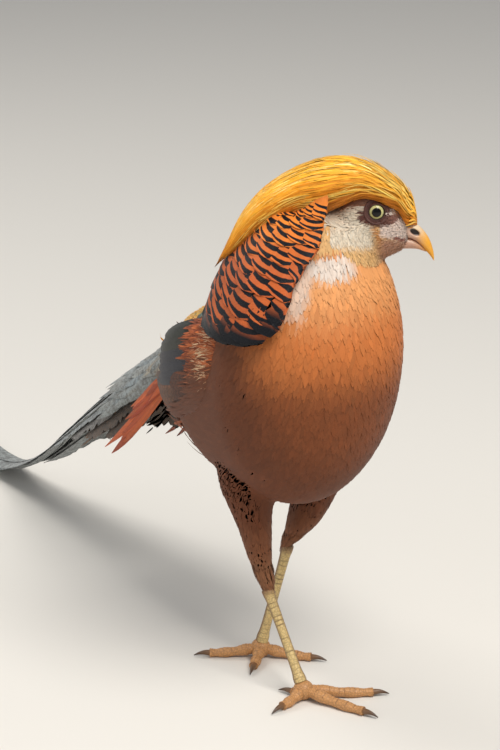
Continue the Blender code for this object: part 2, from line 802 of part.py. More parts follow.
def vane(guide, rows, columns=3, tilt=0.0):
    """Makes one feather or lock as a thin closed blade that follows a guide surface.

    Each row holds: along, across, half width in the guide's own across units, level of the
    blade on the guide, lift in millimetres. The blade is thickest along its middle rib and at
    its root; tilt raises the edge of the larger across value and lowers the other one.
    """
    places = np.linspace(-1.0, 1.0, columns)
    outer = []
    inner = []
    for step, (along, across, half, level, lift) in enumerate(rows):
        tip = step / (len(rows) - 1)
        highs = []
        lows = []
        for place in places:
            rib = FEATHER_EDGE if abs(place) == 1.0 and columns > 2 else FEATHER_RIB
            thick = rib + (FEATHER_EDGE - rib) * tip
            slope = lift + tilt * place * (1.0 if step < len(rows) - 1 else 0.25)
            lows.append(guide(along, across + place * half, level, slope - thick / 2))
            highs.append(guide(along, across + place * half, level, slope + thick / 2))
        outer.append(highs)
        inner.append(lows)
    return shell("vane", outer, inner)


class Ground:
    """The closed forms that feathers lie on; it lifts a point clear of them."""

    def __init__(self, forms):
        self.trees = []
        for form in forms:
            points = [Vector(corner.co) / MM for corner in form.data.vertices]
            faces = [tuple(face.vertices) for face in form.data.polygons]
            self.trees.append(BVHTree.FromPolygons(points, faces))

    def below(self, point, way):
        """Measures how far the first form lies from a point along a direction, if there is one."""
        hits = [tree.ray_cast(Vector(point), Vector(way)) for tree in self.trees]
        reaches = [hit[3] for hit in hits if hit[0] is not None]
        return min(reaches) if reaches else None

    def clear(self, point, height):
        """Moves a point out until it stands at least height above every form."""
        spot = Vector(point)
        for _ in range(3):
            for tree in self.trees:
                near, normal, _, _ = tree.find_nearest(spot)
                away = spot - near
                depth = away.length if away.dot(normal) > 0 else -away.length
                if depth < height:
                    way = away.normalized() * (1 if depth > 0 else -1) if abs(depth) > 0.05 else normal
                    spot = near + way * height
        return np.array(spot)


def cape_vanes(guide, rng):
    """Grows the cape's feathers in overlapping tiers from the nape down."""
    vanes = []
    shape = ((0.0, 0.5), (0.55, 1.0), (1.0, 0.6))
    for root, tip, count in CAPE_TIERS:
        for k in range(count):
            across = ((k + 0.5) / count * 2 - 1) * 0.93 + rng.uniform(-0.02, 0.02)
            last = tip + rng.uniform(-0.02, 0.02)
            half = 1.3 / count
            lift = LEVEL if k % 2 else -LEVEL
            rows = [(root + (last - root) * part, across, half * wide, part, lift * (part > 0))
                    for part, wide in shape]
            vanes.append(vane(guide, rows))
    return vanes


def crest_locks(rng):
    """Grows the crest's long silky locks, front ones over those behind them."""
    locks = []
    shape = ((0.0, 0.8), (0.25, 1.0), (0.62, 0.86), (1.0, 0.13))
    for root, tip, count in CREST_TIERS:
        for k in range(count):
            across = ((k + 0.5) / count * 2 - 1) * 0.92 + rng.uniform(-0.02, 0.02)
            last = tip + rng.uniform(-0.03, 0.03) * (tip < 0.99)
            half = 1.2 / count
            lift = LEVEL if k % 2 else -LEVEL
            rows = [(root + (last - root) * part, across * (1 - 0.1 * part), half * wide, part, lift)
                    for part, wide in shape]
            locks.append(vane(crest_guide, rows))
    return locks


def wing_vanes(side, ground, rng):
    """Grows the folded wing's coverts, then its secondaries, then its primaries."""
    vanes = []
    shape = ((0.0, 0.6), (0.3, 1.0), (0.76, 0.9), (1.0, 0.3))

    def guide(along, across, level, offset):
        height = -WING_SHINGLE * (1.0 - level)
        low = wing_guide(side, along, across, height - FEATHER_RIB)
        spot = ground.clear(low, WING_CLEAR + WING_SHINGLE * level)
        outward = unit(wing_guide(side, along, across, 1.0) - wing_guide(side, along, across, 0.0))
        return spot + outward * (offset + FEATHER_RIB)

    for root, tip, count, first, last_place in WING_TIERS:
        for k in range(count):
            across = first + (last_place - first) * (k + 0.5) / count
            last = tip - 0.05 * abs(across) + rng.uniform(-0.015, 0.015)
            half = 0.8 * (last_place - first) / count
            lift = LEVEL if k % 2 else -LEVEL
            rows = [(root + (last - root) * part, across * (1 - 0.16 * part), half * wide, part,
                     lift - ROOT_SINK * (part == 0)) for part, wide in shape]
            vanes.append(vane(guide, rows))
    return vanes


def tail_vanes():
    """Grows the tail feathers in pairs, the two longest along the ridge and the rest under them."""
    vanes = []
    for pair, reach in enumerate(TAIL_REACH):
        for side in (1, -1):
            shares = [TAIL_ROOT, TAIL_OUT, *np.linspace(TAIL_OUT, reach, 3 + round(5 * reach))[1:]]
            rows = []
            for along in shares:
                section = spline_at(TAIL_SECTIONS, along)
                flat = 1.0 - min(section[2] / TAIL_FLAT_DROP, 1.0)
                _, half_length = arch(section, 0.0, 0.0)
                near = TAIL_NEAR / half_length
                across = side * (near + (TAIL_LAST - near) * pair / (TAIL_PAIRS - 1))
                wide = TAIL_WIDE[min(pair, 1)] * (1.0 - 0.25 * along / reach)
                if along == reach:
                    wide *= TAIL_TIP
                half = min(wide / half_length, TAIL_WIDEST)
                low = side < 0
                stacked = TAIL_STEP * (2 * pair + low)
                shingled = TAIL_STEP * low if pair == 0 else TAIL_SHINGLE + 0.5 * low
                lift = -stacked * flat - shingled * (1.0 - flat)
                rows.append((along, across, half, 0.0, lift - 3.0 * (along == TAIL_ROOT)))
            tilt = 0.0 if pair == 0 else side * TAIL_TILT * TAIL_WIDE[1]
            vanes.append(vane(tail_guide, rows, 3, tilt))
    return vanes


def covert_vanes(rng):
    """Grows the tail coverts: short over the ridge, long and narrow down the sides."""
    vanes = []
    shape = ((0.0, 0.8), (0.22, 1.0), (0.55, 0.85), (0.82, 0.5), (1.0, 0.12))

    def guide(share, across, level, offset):
        section = tail_at(TAIL_SECTIONS[0][0] - share * COVERT_LENGTH)
        return arch(section, across, level + offset)[0]

    for root, ridge_tip, side_tip, count in COVERT_TIERS:
        for k in range(count):
            across = ((k + 0.5) / count * 2 - 1) * 0.94
            tip = ridge_tip + (side_tip - ridge_tip) * abs(across) + rng.uniform(-0.04, 0.04)
            lift = LEVEL if k % 2 else -LEVEL
            rows = [(root + (tip - root) * part, across, COVERT_HALF * wide,
                     COVERT_LIFT - COVERT_RISE * (1 - part), lift - ROOT_SINK * (part == 0))
                    for part, wide in shape]
            vanes.append(vane(guide, rows, 2))
    return vanes


def tail_share(x):
    """Finds the share of the tail's length that lies at a given x."""
    places = np.array([section[0] for section in TAIL_SECTIONS], dtype=float)
    return float(np.interp(-x, -places, np.linspace(0.0, 1.0, len(places))))


def tail_at(x):
    """Reads the tail's section at a given x."""
    rows = np.array(TAIL_SECTIONS, dtype=float)[::-1]
    return np.array([x] + [np.interp(x, rows[:, 0], rows[:, k]) for k in (1, 2, 3)])


def eye_place(side):
    """Finds an eye's centre; side is 1 for the bird's right eye and -1 for its left."""
    return head_point(EYE_AHEAD, side * (EYE_OUT - EYE_RADIUS), EYE_HEIGHT)


def finish_node(node, colour):
    """Shades a node and gives it its material."""
    node.data.materials.clear()
    node.data.materials.append(material(node.name + "_finish", colour))
    node.data.shade_smooth()
    node.data.set_sharp_from_angle(angle=math.radians(35.0))


def corners_of(node):
    """Reads a mesh's points as rows of metres."""
    flat = np.empty(len(node.data.vertices) * 3, dtype=np.float32)
    node.data.vertices.foreach_get("co", flat)
    return flat.reshape(-1, 3)


def centre_on_floor(nodes):
    """Moves the whole bird so that the origin lies under the middle of its box."""
    every = np.vstack([corners_of(node) for node in nodes])
    low = every.min(axis=0)
    high = every.max(axis=0)
    shift = Vector((-(low[0] + high[0]) / 2, -(low[1] + high[1]) / 2, -low[2]))
    for node in nodes:
        node.data.transform(Matrix.Translation(shift))


def build():
    """Makes every node of the bird."""
    clear_scene()
    colours = {}
    last = len(BODY_SECTIONS) - 1
    torso = body_form("torso", 0, NECK_BASE, shift=GAP / 2)
    neck = body_form("neck", NECK_BASE, last, shift=GAP / 2)
    torso_grown = body_form("torso_grown", 0, last, GAP)
    head = head_form("head")
    head_grown = head_form("head_grown", GAP)
    cut(neck, [head_grown])
    colours[torso] = ORANGE
    colours[neck] = ORANGE
    colours[head] = FACE_BUFF
    bill_upper = bill_form("bill_upper", UPPER_BILL)
    bill_lower = bill_form("bill_lower", LOWER_BILL)
    bill_grown = [bill_form("bill_grown", UPPER_BILL, GAP), bill_form("bill_grown", LOWER_BILL, GAP)]
    cut(head, bill_grown)
    colours[bill_upper] = HORN
    colours[bill_lower] = HORN
    for side, name in ((1, "eye_right"), (-1, "eye_left")):
        lid = ring_form("lid", head_point(EYE_AHEAD, side * LID_OUT, EYE_HEIGHT),
                        (AHEAD, np.array((0, 0, 1.0)), RIGHTWARD), LID_RADIUS, LID_THICKNESS)
        fuse(head, [lid])
        eye = ball(name, eye_place(side), (EYE_RADIUS,) * 3, rows=7, count=11)
        socket = ball("socket", eye_place(side), (EYE_RADIUS + GAP,) * 3)
        cut(head, [socket])
        remove([socket])
        colours[eye] = IRIS
        along = AHEAD * math.cos(NOSTRIL_SLANT) + np.array((0, 0, 1.0)) * math.sin(NOSTRIL_SLANT)
        nostril = ball("nostril", head_point(NOSTRIL[0], side * NOSTRIL[2], NOSTRIL[1]), NOSTRIL_SIZE,
                       (along, RIGHTWARD, np.cross(along, RIGHTWARD)), rows=5, count=8)
        cut(bill_upper, [nostril])
        remove([nostril])
    mouth = mouth_form("mouth")
    cut(head, [mouth])
    helpers = [torso_grown, head_grown, *bill_grown, mouth]

    rng = np.random.default_rng(SEED)
    crest_grown = crest_form("crest_grown", grow=GAP + 0.9)
    crest = crest_form("crest", 1.0 - CREST_BED + 0.04, end=CREST_CORE_END)
    fuse(crest, crest_locks(rng), "MANIFOLD")
    smooth_out(crest)
    cut(crest, [head_grown, torso_grown], "MANIFOLD")
    colours[crest] = GOLD
    cape_place = cape_bed(Ground([torso_grown, head_grown]))
    cape = cape_form("cape", cape_place, -0.8, 0.22, CAPE_CORE_END)
    fuse(cape, cape_vanes(cape_place, rng), "MANIFOLD")
    smooth_out(cape)
    cut(cape, [torso_grown, head_grown, crest_grown], "MANIFOLD")
    colours[cape] = CAPE_ORANGE
    cape_grown = cape_form("cape_grown", cape_place, -3.0, 1.25, 1.03)
    helpers += [crest_grown, cape_grown]
    tail = tail_form("tail", -1.6, TAIL_ROOT_END)
    fuse(tail, [tail_tie("tie"), *tail_vanes()], "MANIFOLD")
    smooth_out(tail)
    below = mesh_box("below", (-900, -200, -40), (200, 200, 0))
    cut(tail, [torso_grown, below], "MANIFOLD")
    remove([below])
    tail_end = tail.copy()
    tail_end.data = tail.data.copy()
    tail_end.name = "tail_end"
    bpy.context.scene.collection.objects.link(tail_end)
    near = mesh_box("near", (TAIL_SPLIT - GAP / 2, -200, -40), (200, 200, 400))
    far = mesh_box("far", (-900, -200, -40), (TAIL_SPLIT + GAP / 2, 200, 400))
    cut(tail, [far], "MANIFOLD")
    cut(tail_end, [near], "MANIFOLD")
    remove([near, far])
    colours[tail] = TAIL_GREY
    colours[tail_end] = TAIL_GREY
    tail_grown = tail_form("tail_grown", 1.4)
    coverts = coverts_form("tail_coverts", end=COVERT_CORE_END)
    fuse(coverts, covert_vanes(rng), "MANIFOLD")
    smooth_out(coverts)
    cut(coverts, [torso_grown, tail_grown], "MANIFOLD")
    colours[coverts] = RUMP_RED
    coverts_grown = coverts_form("coverts_grown", 3.6)
    helpers += [tail_grown, coverts_grown]
    torso_ground = Ground([torso_grown])
    for side, name in ((-1, "wing_right"), (1, "wing_left")):
        wing = wing_form(name, side, -WING_SHINGLE, WING_CORE_END)
        fuse(wing, wing_vanes(side, torso_ground, rng), "MANIFOLD")
        smooth_out(wing)
        cut(wing, [torso_grown, cape_grown, tail_grown, coverts_grown], "MANIFOLD")
        colours[wing] = WING_BROWN

    for name, thigh_stations, shank_ends, foot in (
            ("right", RIGHT_THIGH, RIGHT_SHANK, RIGHT_FOOT), ("left", LEFT_THIGH, LEFT_SHANK, LEFT_FOOT)):
        thigh = thigh_form("thigh_" + name, thigh_stations)
        shank = shank_form("shank_" + name, shank_ends)
        shank_grown = shank_form("shank_grown", shank_ends, GAP)
        cut(thigh, [torso_grown, shank_grown])
        foot_node = foot_form("foot_" + name, foot)
        palm_grown = ball("palm_grown", (*foot[0], PALM_HEIGHT - 1.4), (7.0 + GAP, 7.0 + GAP, 6.8 + GAP),
                          rows=7, count=12)
        cut(shank, [palm_grown])
        for toe, toe_name in enumerate(TOE_NAMES):
            claw = claw_form("claw_{}_{}".format(name, toe_name), foot, toe)
            claw_grown = claw_form("claw_grown", foot, toe, GAP)
            cut(foot_node, [claw_grown])
            remove([claw_grown])
            colours[claw] = CLAW_BROWN
        remove([shank_grown, palm_grown])
        colours[thigh] = TAN
        colours[shank] = SKIN_YELLOW
        colours[foot_node] = SKIN_YELLOW
    remove(helpers)
    for node, colour in colours.items():
        finish_node(node, colour)
    centre_on_floor(list(colours))


build()
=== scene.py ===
"""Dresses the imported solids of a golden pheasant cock, life size, in skin, plumage, eyes, horn and scales.

Shapes are worked out in the bird's own millimetres: +X ahead, +Y to its left, +Z up, with the
floor at z = 0. A form is a surface of two parameters, and a feather is a thin closed vane laid
on such a surface. One shift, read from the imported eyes, carries everything into the frame.
"""

import logging
import math
from dataclasses import dataclass
from enum import Enum
from typing import Callable

import bpy
import numpy as np
from mathutils import Matrix, Vector
from mathutils.bvhtree import BVHTree


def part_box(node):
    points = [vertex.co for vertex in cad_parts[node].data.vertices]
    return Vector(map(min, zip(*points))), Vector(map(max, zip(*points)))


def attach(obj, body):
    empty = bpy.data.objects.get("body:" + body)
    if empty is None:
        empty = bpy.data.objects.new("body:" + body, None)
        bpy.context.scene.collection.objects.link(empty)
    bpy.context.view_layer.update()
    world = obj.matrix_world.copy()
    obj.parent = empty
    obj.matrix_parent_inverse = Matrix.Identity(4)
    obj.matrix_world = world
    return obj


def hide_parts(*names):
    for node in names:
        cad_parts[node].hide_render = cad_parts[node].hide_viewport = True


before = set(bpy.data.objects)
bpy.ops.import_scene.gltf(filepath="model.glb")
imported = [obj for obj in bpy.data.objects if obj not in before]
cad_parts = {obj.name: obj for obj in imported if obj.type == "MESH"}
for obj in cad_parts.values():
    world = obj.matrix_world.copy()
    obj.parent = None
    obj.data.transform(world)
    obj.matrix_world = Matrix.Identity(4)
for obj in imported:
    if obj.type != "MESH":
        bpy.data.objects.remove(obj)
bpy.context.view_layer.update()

MM = 0.001
BODY = "root"
SEED = 11
LARGEST_PIECE = 185000
PATCH = 0.003
NARROW = 3
FORM_GRID = (61, 72)
TAPER = 0.66
EVEN_STEPS = (0.7548776662466927, 0.5698402909980532)
Array = np.ndarray
Colour = tuple[float, float, float]
log = logging.getLogger("pheasant")


class Slot(str, Enum):
    """The record's material slots."""

    BREAST = "breast_feathers"
    FACE = "face_feathers"
    BILL = "bill_horn"
    EYE = "eye"
    CREST = "crest_feathers"
    CAPE = "cape_feathers"
    WING = "wing_feathers"
    COVERT = "covert_feathers"
    TAIL = "tail_feathers"
    THIGH = "thigh_feathers"
    LEG = "leg_skin"
    CLAW = "claw"


def unit(rows: Array) -> Array:
    """Scales each last-axis row to length one."""
    return rows / np.maximum(np.linalg.norm(rows, axis=-1, keepdims=True), 1e-9)


def paint(red: float, green: float, blue: float) -> Colour:
    """Turns screen colour values from 0 to 255 into linear light."""
    return tuple(((c / 255) / 12.92 if c / 255 <= 0.04045 else ((c / 255 + 0.055) / 1.055) ** 2.4)
                 for c in (red, green, blue))


def ease(low: float, high: float, value: Array) -> Array:
    """Rises smoothly from 0 at low to 1 at high."""
    share = np.clip((value - low) / (high - low), 0.0, 1.0)
    return share * share * (3.0 - 2.0 * share)


def mix(first: Array, second: Array, share: Array) -> Array:
    """Blends two arrays of colours by a share for each row."""
    share = np.asarray(share)[..., None]
    return np.asarray(first) * (1.0 - share) + np.asarray(second) * share


class Track:
    """A smooth curve through rows of named sections, read as whole arrays.

    Between two rows it is a Catmull-Rom cubic; past its ends it goes on in a straight line.
    """

    def __init__(self, rows: tuple) -> None:
        """Pads the rows at both ends, so that the curve goes on straight.

        Args:
            rows: one row of values for each section.
        """
        self.rows = np.array(rows, dtype=float)
        first = 2 * self.rows[0] - self.rows[1]
        last = 2 * self.rows[-1] - self.rows[-2]
        self.padded = np.vstack((first, self.rows, last))

    def at(self, share: Array) -> Array:
        """Reads the curve at shares of its length from 0 to 1, counted in rows.

        Args:
            share: places along the curve, of any shape.

        Returns:
            One row of values for each place, on a new last axis.
        """
        steps = len(self.rows) - 1
        place = np.asarray(share, dtype=float) * steps
        inside = np.clip(place, 0.0, steps)
        first = np.minimum(inside.astype(int), steps - 1)
        t = (inside - first)[..., None]
        p0, p1, p2, p3 = (self.padded[first + k] for k in range(4))
        value = 0.5 * (2 * p1 + (p2 - p0) * t + (2 * p0 - 5 * p1 + 4 * p2 - p3) * t**2
                       + (3 * p1 - p0 - 3 * p2 + p3) * t**3)
        return value + (place - inside)[..., None] * (p2 - p1)


@dataclass(frozen=True)
class HeadAxes:
    """The directions of the head, which is turned to the bird's left."""

    turn: float = math.radians(60.0)
    axis: tuple[float, float] = (42.0, 8.0)

    @property
    def ahead(self) -> Array:
        """The way the bill points."""
        return np.array((math.cos(self.turn), math.sin(self.turn), 0.0))

    @property
    def rightward(self) -> Array:
        """The way from the head to its own right side."""
        return np.array((math.sin(self.turn), -math.cos(self.turn), 0.0))

    def place(self, ahead: Array, rightward: Array, height: Array) -> Array:
        """Turns places in the head's own directions into bird places.

        Args:
            ahead: distance ahead of the neck.
            rightward: distance to the head's right.
            height: height, in millimetres.

        Returns:
            Bird places, on a new last axis.
        """
        ahead, rightward, height = np.broadcast_arrays(ahead, rightward, height)
        flat = np.stack((np.full(ahead.shape, self.axis[0]), np.full(ahead.shape, self.axis[1]), height),
                        axis=-1)
        return flat + ahead[..., None] * self.ahead + rightward[..., None] * self.rightward

    def read(self, points: Array) -> tuple[Array, Array, Array]:
        """Turns bird places into distances ahead, rightward and up."""
        offset = points - np.array((*self.axis, 0.0))
        return offset @ self.ahead, offset @ self.rightward, points[..., 2]


HEAD = HeadAxes()
EYE_AHEAD = 34.3
EYE_HEIGHT = 336.0
EYE_RADIUS = 6.4
EYE_OUT = 14.4


def eye_centre(side: int) -> Array:
    """Places an eye's centre; side is 1 for the bird's right eye and -1 for its left."""
    return HEAD.place(EYE_AHEAD, side * (EYE_OUT - EYE_RADIUS), EYE_HEIGHT)


def packed_shift() -> Array:
    """Finds the shift in metres from the bird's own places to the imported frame."""
    low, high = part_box("eye_right")
    return (np.array(low) + np.array(high)) / 2 - eye_centre(1) * MM


SHIFT = packed_shift()


class Surface:
    """A form of two parameters, read from a smooth track of sections."""

    sections: tuple = ()

    def __init__(self) -> None:
        """Reads the sections as a curve."""
        self.track = Track(self.sections)

    def point(self, along: Array, turn: Array, rise: Array = 0.0) -> Array:
        """Places points on the form; each kind of form has its own."""
        raise NotImplementedError


class BodySurface(Surface):
    """The torso and neck as rings from the tail's root to the top of the neck.

    A point is the ring's middle, plus sin(turn) times the half width sideways, plus cos(turn)
    times the half height along the ring, both grown by the rise.
    """

    sections = (
        (-119, 216, -118, 184, 9, 0), (-104, 226, -103, 166, 23, 0), (-82, 238, -84, 152, 37, 0),
        (-56, 252, -61, 140, 48, 0), (-28, 268, -36, 131, 55, 0), (-4, 284, -8, 128, 59, 0),
        (8, 295, 22, 129.5, 62, 0), (13, 302, 49, 137, 64, 0), (14, 307, 73, 159, 63, 0),
        (15, 311, 90, 188, 60, 0), (16, 315, 99, 220, 56, 1), (17, 319, 100, 250, 50.5, 2),
        (17, 325, 92, 277, 44, 4), (17, 331, 82, 297, 37, 6), (19, 338, 75, 311, 31, 8),
        (24, 345, 69, 323, 24, 9),
    )

    def point(self, along: Array, turn: Array, rise: Array = 0.0) -> Array:
        """Places points: along from tail root to neck, turn from the back over the left side.

        Args:
            along: places along the form, from 0 to 1.
            turn: places round or across the form.
            rise: height over the form, in millimetres.

        Returns:
            Points on the form, on a new last axis.
        """
        back_x, back_z, belly_x, belly_z, width, lean = np.moveaxis(self.track.at(along), -1, 0)
        back = np.stack((back_x, lean, back_z), axis=-1)
        belly = np.stack((belly_x, lean, belly_z), axis=-1)
        height = np.linalg.norm(back - belly, axis=-1) / 2
        up = unit(back - belly)
        wide = np.sin(turn) * (width + rise)
        tall = np.cos(turn) * (height + rise)
        return (back + belly) / 2 + wide[..., None] * np.array((0.0, 1.0, 0.0)) + tall[..., None] * up


class HeadSurface(Surface):
    """The head as rings from the nape to the bill's root, in the head's own directions."""

    sections = (
        (11, 336, 318, 8.0), (15, 343, 311, 11.0), (22, 348, 306, 13.0), (31, 350, 303, 13.6),
        (39, 347, 302, 12.8), (46, 341, 304.5, 10.8), (51, 334, 307, 8.4), (54.5, 327.5, 309.5, 6.2),
    )

    def point(self, along: Array, turn: Array, rise: Array = 0.0) -> Array:
        """Places points: along from nape to bill, turn from the crown over the right side.

        Args:
            along: places along the form, from 0 to 1.
            turn: places round or across the form.
            rise: height over the form, in millimetres.

        Returns:
            Points on the form, on a new last axis.
        """
        ahead, crown, chin, width = np.moveaxis(self.track.at(along), -1, 0)
        middle = (crown + chin) / 2 + 2.0
        reach = np.where(np.cos(turn) > 0, crown - middle, middle - chin) + rise
        return HEAD.place(ahead, np.sin(turn) * (width + rise), middle + np.cos(turn) * reach)


@dataclass
class ThighSurface(Surface):
    """One feathered thigh as rings from the belly down to the hock."""

    stations: tuple

    def __post_init__(self) -> None:
        """Reads the stations as a curve."""
        self.track = Track(self.stations)

    def point(self, along: Array, turn: Array, rise: Array = 0.0) -> Array:
        """Places points: along from belly to hock, turn from the front over the left.

        Args:
            along: places along the form, from 0 to 1.
            turn: places round or across the form.
            rise: height over the form, in millimetres.

        Returns:
            Points on the form, on a new last axis.
        """
        x, y, z, fore, across = np.moveaxis(self.track.at(along), -1, 0)
        return np.stack((x + np.cos(turn) * (fore + rise), y + np.sin(turn) * (across + rise),
                         z + 0.0 * turn), axis=-1)


THIGHS = {
    "right": ((4, -26, 158, 26, 20), (8, -27, 138, 22, 17.5), (12, -26, 122, 15.5, 13.5),
              (13.6, -24, 108, 12.2, 11.2), (14, -21.5, 92, 9.6, 9.0), (16, -18.5, 77, 6.8, 6.4),
              (17.2, -17.2, 70, 4.6, 4.6)),
    "left": ((12, 26, 158, 26, 20), (8, 27, 138, 21, 17), (5, 24.5, 121, 17, 14),
             (1, 20.5, 105, 13, 11.5), (-5, 17, 93, 8.2, 7.6), (-10, 15.8, 86, 5.0, 5.0)),
}
SHANKS = {
    "right": ((17.5, -17.0, 67.0), (52.0, -11.4, 11.5)),
    "left": ((-12.0, 16.0, 82.0), (-18.4, -0.6, 12.0)),
}
FEET = {
    "right": ((54.1, -10.5), (78.8, 42.0), (105.7, 15.8), (66.0, -42.1), (36.5, -19.5)),
    "left": ((-19.0, -1.2), (-41.3, -42.0), (6.1, -24.2), (12.8, 33.2), (-36.0, 10.0)),
}


def grid_faces(rows: int, columns: int, wrap: bool) -> Array:
    """Lists the quads of a grid of points, closed round its columns when wrap is true.

    Args:
        rows: lines of points.
        columns: points in each line.
        wrap: whether the last column joins the first.

    Returns:
        One row of four vertex numbers for each quad.
    """
    count = columns if wrap else columns - 1
    row, column = lattice(np.arange(rows - 1), np.arange(count))
    after = (column + 1) % columns
    quads = np.stack((row * columns + column, row * columns + after,
                      (row + 1) * columns + after, (row + 1) * columns + column), axis=-1)
    return quads.reshape(-1, 4)


def lattice(first: Array, second: Array) -> tuple[Array, Array]:
    """Spreads two rows of values over a grid, the first down its rows."""
    return np.meshgrid(first, second, indexing="ij")


def corners_round(count: int) -> Array:
    """Lists even angles once round a ring."""
    return np.arange(count) / count * 2 * math.pi


def end_middles(rings: Array) -> tuple[Array, Array]:
    """Finds the middles of the first and the last ring."""
    return rings[0].mean(axis=0), rings[-1].mean(axis=0)


def mesh_from(name: str, points: Array, faces: list[Array]) -> bpy.types.Object:
    """Makes a smooth mesh object from points in bird millimetres and blocks of equal faces.

    Args:
        name: the object's name.
        points: one row of x, y, z for each vertex.
        faces: arrays of vertex numbers, one row for each face, each array of one corner count.

    Returns:
        The new object, linked to the scene, with its place in its mesh.
    """
    mesh = bpy.data.meshes.new(name)
    mesh.vertices.add(len(points))
    mesh.vertices.foreach_set("co", (points * MM + SHIFT).astype(np.float32).ravel())
    corners = np.concatenate([block.ravel() for block in faces])
    totals = np.concatenate([np.full(len(block), block.shape[1]) for block in faces])
    mesh.loops.add(len(corners))
    mesh.loops.foreach_set("vertex_index", corners.astype(np.int32))
    mesh.polygons.add(len(totals))
    starts = np.concatenate(([0], np.cumsum(totals)[:-1]))
    mesh.polygons.foreach_set("loop_start", starts.astype(np.int32))
    mesh.polygons.foreach_set("use_smooth", np.ones(len(totals), dtype=bool))
    mesh.update(calc_edges=True)
    made = bpy.data.objects.new(name, mesh)
    bpy.context.scene.collection.objects.link(made)
    return made


def set_uv(thing: bpy.types.Object, name: str, corner_uv: Array) -> None:
    """Gives a mesh a named UV map, one row for each vertex, spread to the face corners.

    Args:
        thing: the object.
        name: the map's name.
        corner_uv: one row of u, v for each vertex.
    """
    mesh = thing.data
    numbers = np.empty(len(mesh.loops), dtype=np.int32)
    mesh.loops.foreach_get("vertex_index", numbers)
    layer = mesh.uv_layers.new(name=name)
    layer.data.foreach_set("uv", corner_uv[numbers].astype(np.float32).ravel())


def set_ring_tint(thing: bpy.types.Object, tint: Array) -> None:
    """Gives a form made of rings its colours; each pole takes that of the ring beside it."""
    set_tint(thing, np.vstack((tint.reshape(-1, 3), tint[0, :1], tint[-1, :1])))


def set_plain_tint(thing: bpy.types.Object, colour: Colour) -> None:
    """Gives a mesh one base colour all over."""
    set_tint(thing, np.full((len(thing.data.vertices), 3), colour))


def set_tint(thing: bpy.types.Object, tint: Array) -> None:
    """Gives a mesh its base colour as an attribute, one linear colour for each vertex.

    Args:
        thing: the object.
        tint: linear colours, one row each.
    """
    layer = thing.data.color_attributes.new("tint", "FLOAT_COLOR", "POINT")
    full = np.concatenate((np.clip(tint, 0.0, 1.0), np.ones((len(tint), 1))), axis=1)
    layer.data.foreach_set("color", full.astype(np.float32).ravel())


def lathe_form(name: str, rings: Array, poles: tuple[Array, Array]) -> bpy.types.Object:
    """Closes a stack of rings between two poles into one outward form, with a Form UV map.

    Args:
        name: the object's name.
        rings: points of shape (rings, corners, 3) in bird millimetres.
        poles: the points that close the first and the last ring.

    Returns:
        The object, with its faces turned outward.
    """
    rows, columns = rings.shape[:2]
    points = np.vstack((rings.reshape(-1, 3), poles[0], poles[1]))
    quads = grid_faces(rows, columns, True)
    k = np.arange(columns)
    after = (k + 1) % columns
    last = (rows - 1) * columns
    low_cap = np.stack((after, k, np.full(columns, rows * columns)), axis=-1)
    high_cap = np.stack((last + k, last + after, np.full(columns, rows * columns + 1)), axis=-1)
    middle = rings.mean(axis=1)
    outward = np.einsum("ijk,ijk->",
                        np.cross(rings[:-1, after] - rings[:-1, k], rings[1:, k] - rings[:-1, k]),
                        rings[:-1] - middle[:-1, None])
    if outward < 0:
        quads, low_cap, high_cap = quads[:, ::-1], low_cap[:, ::-1], high_cap[:, ::-1]
    made = mesh_from(name, points, [quads, low_cap, high_cap])
    v, u = lattice(np.linspace(0, 1, rows), np.arange(columns) / columns)
    uv = np.vstack((np.stack((u, v), axis=-1).reshape(-1, 2), ((0.5, 0.0), (0.5, 1.0))))
    set_uv(made, "Form", uv)
    return made


@dataclass
class Plume:
    """A batch of feathers held as whole arrays, in bird millimetres.

    grid holds each feather's middle surface as (feathers, stations, columns, 3) points from root
    to tip and from edge to edge; thick its thickness at each station; tint its colour; home the
    place of its root on the skin's unwrap.
    """

    grid: Array
    outward: Array
    thick: Array
    tint: Array
    home: Array

    def __post_init__(self) -> None:
        """Gives every station the direction outward, where a batch has one for each feather."""
        if self.outward.ndim == 2:
            self.outward = np.broadcast_to(self.outward[:, None], (*self.grid.shape[:2], 3))

    def __len__(self) -> int:
        """Counts the feathers."""
        return len(self.grid)

    def part(self, chosen: Array) -> "Plume":
        """Keeps only some of the feathers."""
        return Plume(self.grid[chosen], self.outward[chosen], self.thick[chosen], self.tint[chosen],
                     self.home[chosen])


def join_plumes(batches: list[Plume]) -> Plume:
    """Joins batches whose feathers have the same number of stations and columns."""
    return Plume(*(np.concatenate([getattr(batch, key) for batch in batches])
                   for key in ("grid", "outward", "thick", "tint", "home")))


